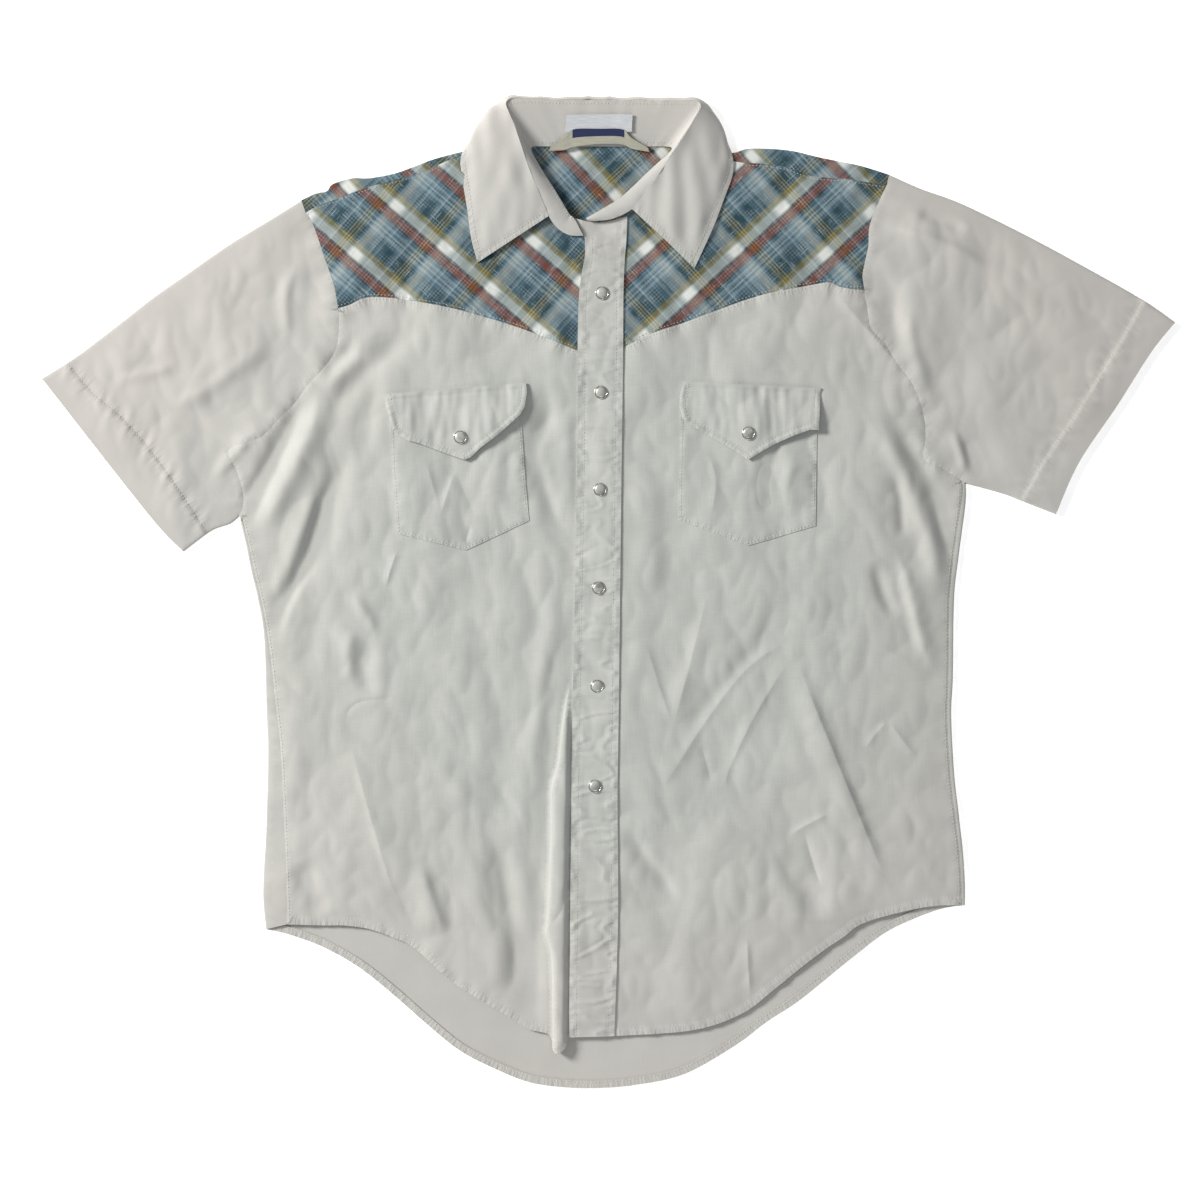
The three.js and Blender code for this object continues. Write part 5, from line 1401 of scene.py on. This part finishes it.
def flap_form(outline, top):
    """A flap is sewn down along its top, ripples downwards from there and lifts at its edge."""
    rim = np.vstack([outline, outline[:1]])
    seed = 17.0 + top[0][0] / 50

    def form(xy):
        from_top, _, _, _ = near_line(xy, np.array(top, float))
        from_rim, _, _, _ = near_line(xy, rim)
        pleats = 0.8 * waves(xy, 6.5, 24, seed) + 1.1 * waves(xy, 15, 38, seed + 1)
        pleats *= 1.15 * smoothstep(from_top, 0, 3) * (1 - smoothstep(from_top, 34, 60))
        roll = 0.3 * np.exp(-(((from_rim - 1.8) / 1.4) ** 2)) - 0.3 * np.exp(-((from_rim / 1.2) ** 2))
        groove = -0.3 * np.exp(-(((from_rim - FLAP_STITCH) / 1.2) ** 2))
        to_right = smoothstep(xy[:, 0], top[0][0] + 20, top[0][0] + 110)
        lift = (1.4 + 2.4 * to_right) * smoothstep(from_top, 3, 34)
        return pleats + (roll + groove) * smoothstep(from_top, 1, 5) + lift
    return form


def flap_layer(name):
    points = FLAPS[name]
    return Layer(FLAP_FACE, flap_form(straight_outline(points), [points[0], points[-1]]))


def flaps():
    for name, points in FLAPS.items():
        outline = straight_outline(points)
        layer = flap_layer(name)
        piece = panel(f"cloth_{name}", name, GREY, outline, layer, grain(-1),
                      MESH["flap"], DOUBLE, seams=[(np.array(points, float), 3.4, 5)])
        edge = shifted(smooth(points), FLAP_STITCH)
        tack = smooth([points[0], points[1]], 2) + (5.5, -3)
        seams = stitches(f"stitches_{name}", [on_layer(edge, layer), on_layer(tack, layer)], THREAD)


def pressed(point):
    """A point of the collar's solids brought down to the thinner cloth under it."""
    return np.array(point, float) * (1, 1, COLLAR_PRESS)


def band_sections():
    rows = []
    for row in BAND_SECTIONS:
        neck, roll = pressed(row["neck"]), pressed(row["roll"])
        shares = np.linspace(0, 1, 13)
        rows.append([neck + (roll - neck) * t + (0, 0, BAND_BULGE * 4 * t * (1 - t)) for t in shares])
    return between(np.array(rows), 10)


def band():
    """The collar band, which bulges a little between its two edges."""
    sections = band_sections()
    steps = np.linalg.norm(np.diff(sections[:, 6], axis=0), axis=1)
    run = np.r_[0, np.cumsum(steps)]
    across = np.linspace(0, 1, 13)
    ripple = np.array([[noise.noise(Vector((s / 8, t * 0.8, 20.0))) for t in across] for s in run])
    sections[..., 2] += 0.5 * ripple * (0.4 + 0.6 * abs(2 * across - 1))
    seam_uv = [(s / 5, 0.4 + min(t, 1 - t) * 8) for s in run for t in across]
    piece = section_sheet("cloth_collar_stand", "collar_stand", GREY, sections, DOUBLE,
                          seam_uv)
    lines = []
    for share in (1, 11):
        places = sections[:, share] + (0, 0, DOUBLE / 2 + 0.15)
        lines += [places[:160] if share == 1 else places[70:170]]
    seams = stitches("stitches_collar_stand", lines, THREAD)


def nearest_tip(row):
    tips = [LEAF_SECTIONS[0]["edge"], LEAF_SECTIONS[-1]["edge"]]
    return min(tips, key=lambda tip: math.dist(tip, row["edge"]))


def leaf_sections():
    """Rows from the roll, which lies on the edge of the band, to the outer edge."""
    band_edge = band_sections()[:, -1]
    rows = []
    for row in LEAF_SECTIONS:
        roll, turn, edge = (pressed(row[key]) for key in ("roll", "turn", "edge"))
        from_tip = math.dist(row["edge"], nearest_tip(row))
        edge[2] += TIP_LIFT * smoothstep(TIP_REACH - from_tip, 0, TIP_REACH)
        nearest = band_edge[np.argmin(np.linalg.norm(band_edge - roll, axis=1))]
        roll = nearest + (0, 0, LEAF_LIFT)
        inner = [catmull_rom(roll, roll, turn, edge, t) for t in np.arange(12) / 12]
        outer = [catmull_rom(roll, turn, edge, edge, t) for t in np.arange(13) / 12]
        rows.append(inner + outer)
    return between(np.array(rows), 10)


def grid_normals(sections):
    along = np.gradient(sections, axis=0)
    across = np.gradient(sections, axis=1)
    normals = np.cross(along, across)
    normals /= np.linalg.norm(normals, axis=2)[..., None]
    return normals if normals[4, 12, 2] > 0 else -normals


def leaf():
    """The collar leaf with a rim outside its edge stitches."""
    sections = leaf_sections()
    normals = grid_normals(sections)
    from_edge = np.cumsum(np.linalg.norm(np.diff(sections[:, ::-1], axis=1), axis=2), axis=1)
    from_edge = np.concatenate([np.zeros((len(sections), 1)), from_edge], axis=1)[:, ::-1]
    steps = np.linalg.norm(np.diff(sections, axis=0), axis=2)
    from_start = np.concatenate([np.zeros((1, steps.shape[1])), np.cumsum(steps, axis=0)])
    from_front = np.minimum(from_start, from_start[-1] - from_start)
    inside = np.minimum(from_edge, from_front)
    run = np.where(from_edge < from_front, from_start, from_edge + 40)
    ripple = np.array([[noise.noise(Vector((s / 8, e / 30, 18.0))) for s, e in zip(row_s, row_e)]
                       for row_s, row_e in zip(run, inside)])
    folds = waves(sections.reshape(-1, 3)[:, :2], 12, 34, 19.0).reshape(ripple.shape)
    form = (0.5 * ripple * np.exp(-((inside - COLLAR_STITCH) / 7) ** 2) * smoothstep(inside, 0, 3)
            - 0.3 * np.exp(-((inside - COLLAR_STITCH) / 0.9) ** 2)
            + 1.9 * folds * smoothstep(inside, 2, 14))
    shaped = sections + normals * form[..., None]
    seam_uv = np.stack([run / 3.2, inside / 6], axis=-1).reshape(-1, 2)
    piece = section_sheet("cloth_collar", "collar", GREY, shaped, DOUBLE, seam_uv)
    seams = stitches("stitches_collar", leaf_stitches(shaped, from_edge, from_front), THREAD)


def leaf_stitches(shaped, from_edge, from_front):
    """Stitches along the outer edge of each point and along its front edge."""
    up = np.array((0, 0, DOUBLE / 2 + 0.12))
    lines = []
    for ends in (slice(0, 50), slice(-50, None)):
        places = []
        for row, dist, front in zip(shaped[ends], from_edge[ends], from_front[ends]):
            if front[-1] >= COLLAR_STITCH:
                places.append([np.interp(COLLAR_STITCH, dist[::-1], row[::-1, k]) for k in range(3)])
        lines.append(np.array(places) + up)
    for rows in (slice(0, 14), slice(None, -15, -1)):
        front = from_front[rows]
        order = np.argsort(front, axis=0)
        places = [[np.interp(COLLAR_STITCH, front[order[:, j], j], shaped[rows][order[:, j], j, k])
                   for k in range(3)] for j in range(3, front.shape[1] - 2)]
        lines.append(np.array(places) + up)
    return lines


def labels():
    for name, table, material, width in (
            ("care", CARE_LABEL, WHITE_LABEL, 7), ("loop", LOOP_LABEL, LOOP_WEAVE, 4)):
        rows = []
        for row in table:
            low, high = np.array(row["low"], float), np.array(row["high"], float)
            rows.append([low + (high - low) * t for t in np.linspace(0, 1, width)])
        sections = between(np.array(rows), 8)
        piece = section_sheet(f"label_{name}_cloth", f"label_{name}", material,
                              sections, 0.5)


# Snap caps: width of the ring, its height, how deep the pearl sits in it and the ring in the
# cloth, and the steps of the round
SNAP = {"rim": 1.05, "ring_height": 1.6, "sunk": 0.35, "foot": 0.9, "turns": 48}


def snap(name, place, layer):
    """A pearl cap in a metal ring, turned round its own axis."""
    low, high = (np.array(corner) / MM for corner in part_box(name))
    radius = (high[0] - low[0]) / 2
    pearl = radius - SNAP["rim"]
    turns = SNAP["turns"]
    ring = [(radius - 1.6, -SNAP["foot"]), (radius - 1.5, 0), (radius - 0.5, 0.1), (radius - 0.1, 0.5),
            (radius, 1.0), (radius - 0.15, 1.4), (radius - 0.45, 1.62), (radius - 0.75, 1.55),
            (pearl + 0.1, 0.6)]
    dome_height = high[2] - low[2] - SNAP["ring_height"] + SNAP["sunk"]
    dome = [(pearl * math.cos(a), 1.0 + dome_height * math.sin(a))
            for a in np.radians([8, 20, 32, 45, 58, 70, 80, 86])]
    profile = ring + dome
    points, faces = [], []
    for i in range(turns):
        turn = 2 * math.pi * i / turns
        points += [(r * math.cos(turn), r * math.sin(turn), z) for r, z in profile]
    count = len(profile)
    for i in range(turns):
        for j in range(count - 1):
            a, b = i * count + j, (i + 1) % turns * count + j
            faces.append((a, b, b + 1, a + 1))
    top = len(points)
    points.append((0, 0, 1.0 + dome_height))
    faces += [(i * count + count - 1, (i + 1) % turns * count + count - 1, top) for i in range(turns)]
    bottom = len(points)
    points.append((0, 0, -SNAP["foot"]))
    faces += [((i + 1) % turns * count, i * count, bottom) for i in range(turns)]
    seat = layer(np.array([place], float))[0]
    centre = ((low[0] + high[0]) / 2, (low[1] + high[1]) / 2, seat)
    piece = new_object(f"pearl_{name}", np.array(points) + centre, faces)
    finish_piece(piece, name, [STEEL, PEARL])
    for polygon in piece.data.polygons:
        polygon.material_index = int(max(polygon.vertices[k] % count for k in range(3)) >= len(ring)
                                     or top in polygon.vertices)


def snaps():
    for number, place in enumerate(PLACKET_SNAPS):
        snap(f"snap_{number + 1}", place, PLACKET_LAYER)
    for name, place in FLAP_SNAPS.items():
        snap(name, place, flap_layer(name.replace("snap_", "")))


# Stage

PICTURE_WIDTH = 1.032  # metres of the surface that the picture shows
PICTURE_CENTRE = (-0.0073, -0.0065)
CAMERA_HEIGHT = 2.5
SENSOR = 36.0


def camera():
    data = bpy.data.cameras.new("camera")
    data.sensor_width = SENSOR
    data.lens = SENSOR * CAMERA_HEIGHT / PICTURE_WIDTH
    eye = bpy.data.objects.new("camera", data)
    eye.location = (*PICTURE_CENTRE, CAMERA_HEIGHT)
    bpy.context.scene.collection.objects.link(eye)
    bpy.context.scene.camera = eye


def light(name, place, target, size, power, color):
    data = bpy.data.lights.new(name, "AREA")
    data.size = size
    data.energy = power
    data.color = color
    lamp = bpy.data.objects.new(name, data)
    lamp.location = place
    lamp.rotation_euler = (Vector(target) - Vector(place)).to_track_quat("-Z", "Y").to_euler()
    bpy.context.scene.collection.objects.link(lamp)


def studio():
    light("key", (-3.8, 1.7, 2.2), (0, 0, 0), 1.1, 250, (1.0, 0.985, 0.96))
    light("fill", (0.2, -2.4, 1.3), (0, 0, 0), 1.2, 13, (1.0, 1.0, 1.0))
    world = bpy.data.worlds.new("studio")
    bpy.context.scene.world = world
    world.use_nodes = True
    sky = world.node_tree.nodes["Background"]
    sky.inputs["Color"].default_value = (0.93, 0.96, 1.0, 1)
    sky.inputs["Strength"].default_value = 0.31
    bpy.context.scene.view_settings.view_transform = "Standard"


def floor():
    size = 4.0
    mesh = bpy.data.meshes.new("floor")
    corners = [(-size, -size, 0), (size, -size, 0), (size, size, 0), (-size, size, 0)]
    mesh.from_pydata(corners, [], [(0, 1, 2, 3)])
    ground = bpy.data.objects.new("floor", mesh)
    ground.location.z = -0.0004
    bpy.context.scene.collection.objects.link(ground)
    nodes = Nodes("floor_paper")
    where = nodes.add("ShaderNodeTexCoord").outputs["Object"]
    tooth = nodes.noise(where, 60.0, 3.0)
    color = nodes.mix(nodes.span(tooth, 0.3, 0.7), srgb(244, 244, 243), srgb(249, 249, 248))
    nodes.put(color, nodes.shader.inputs["Emission Color"])
    mesh.materials.append(nodes.finish(color, 0.95, Specular_IOR_Level=0.1, Emission_Strength=0.65))


camera()
back()
back_yoke()
fronts()
front_yokes()
placket()
sleeve("right", 34.6)
sleeve("left", -27.3)
pockets()
flaps()
band()
leaf()
labels()
snaps()
floor()
studio()
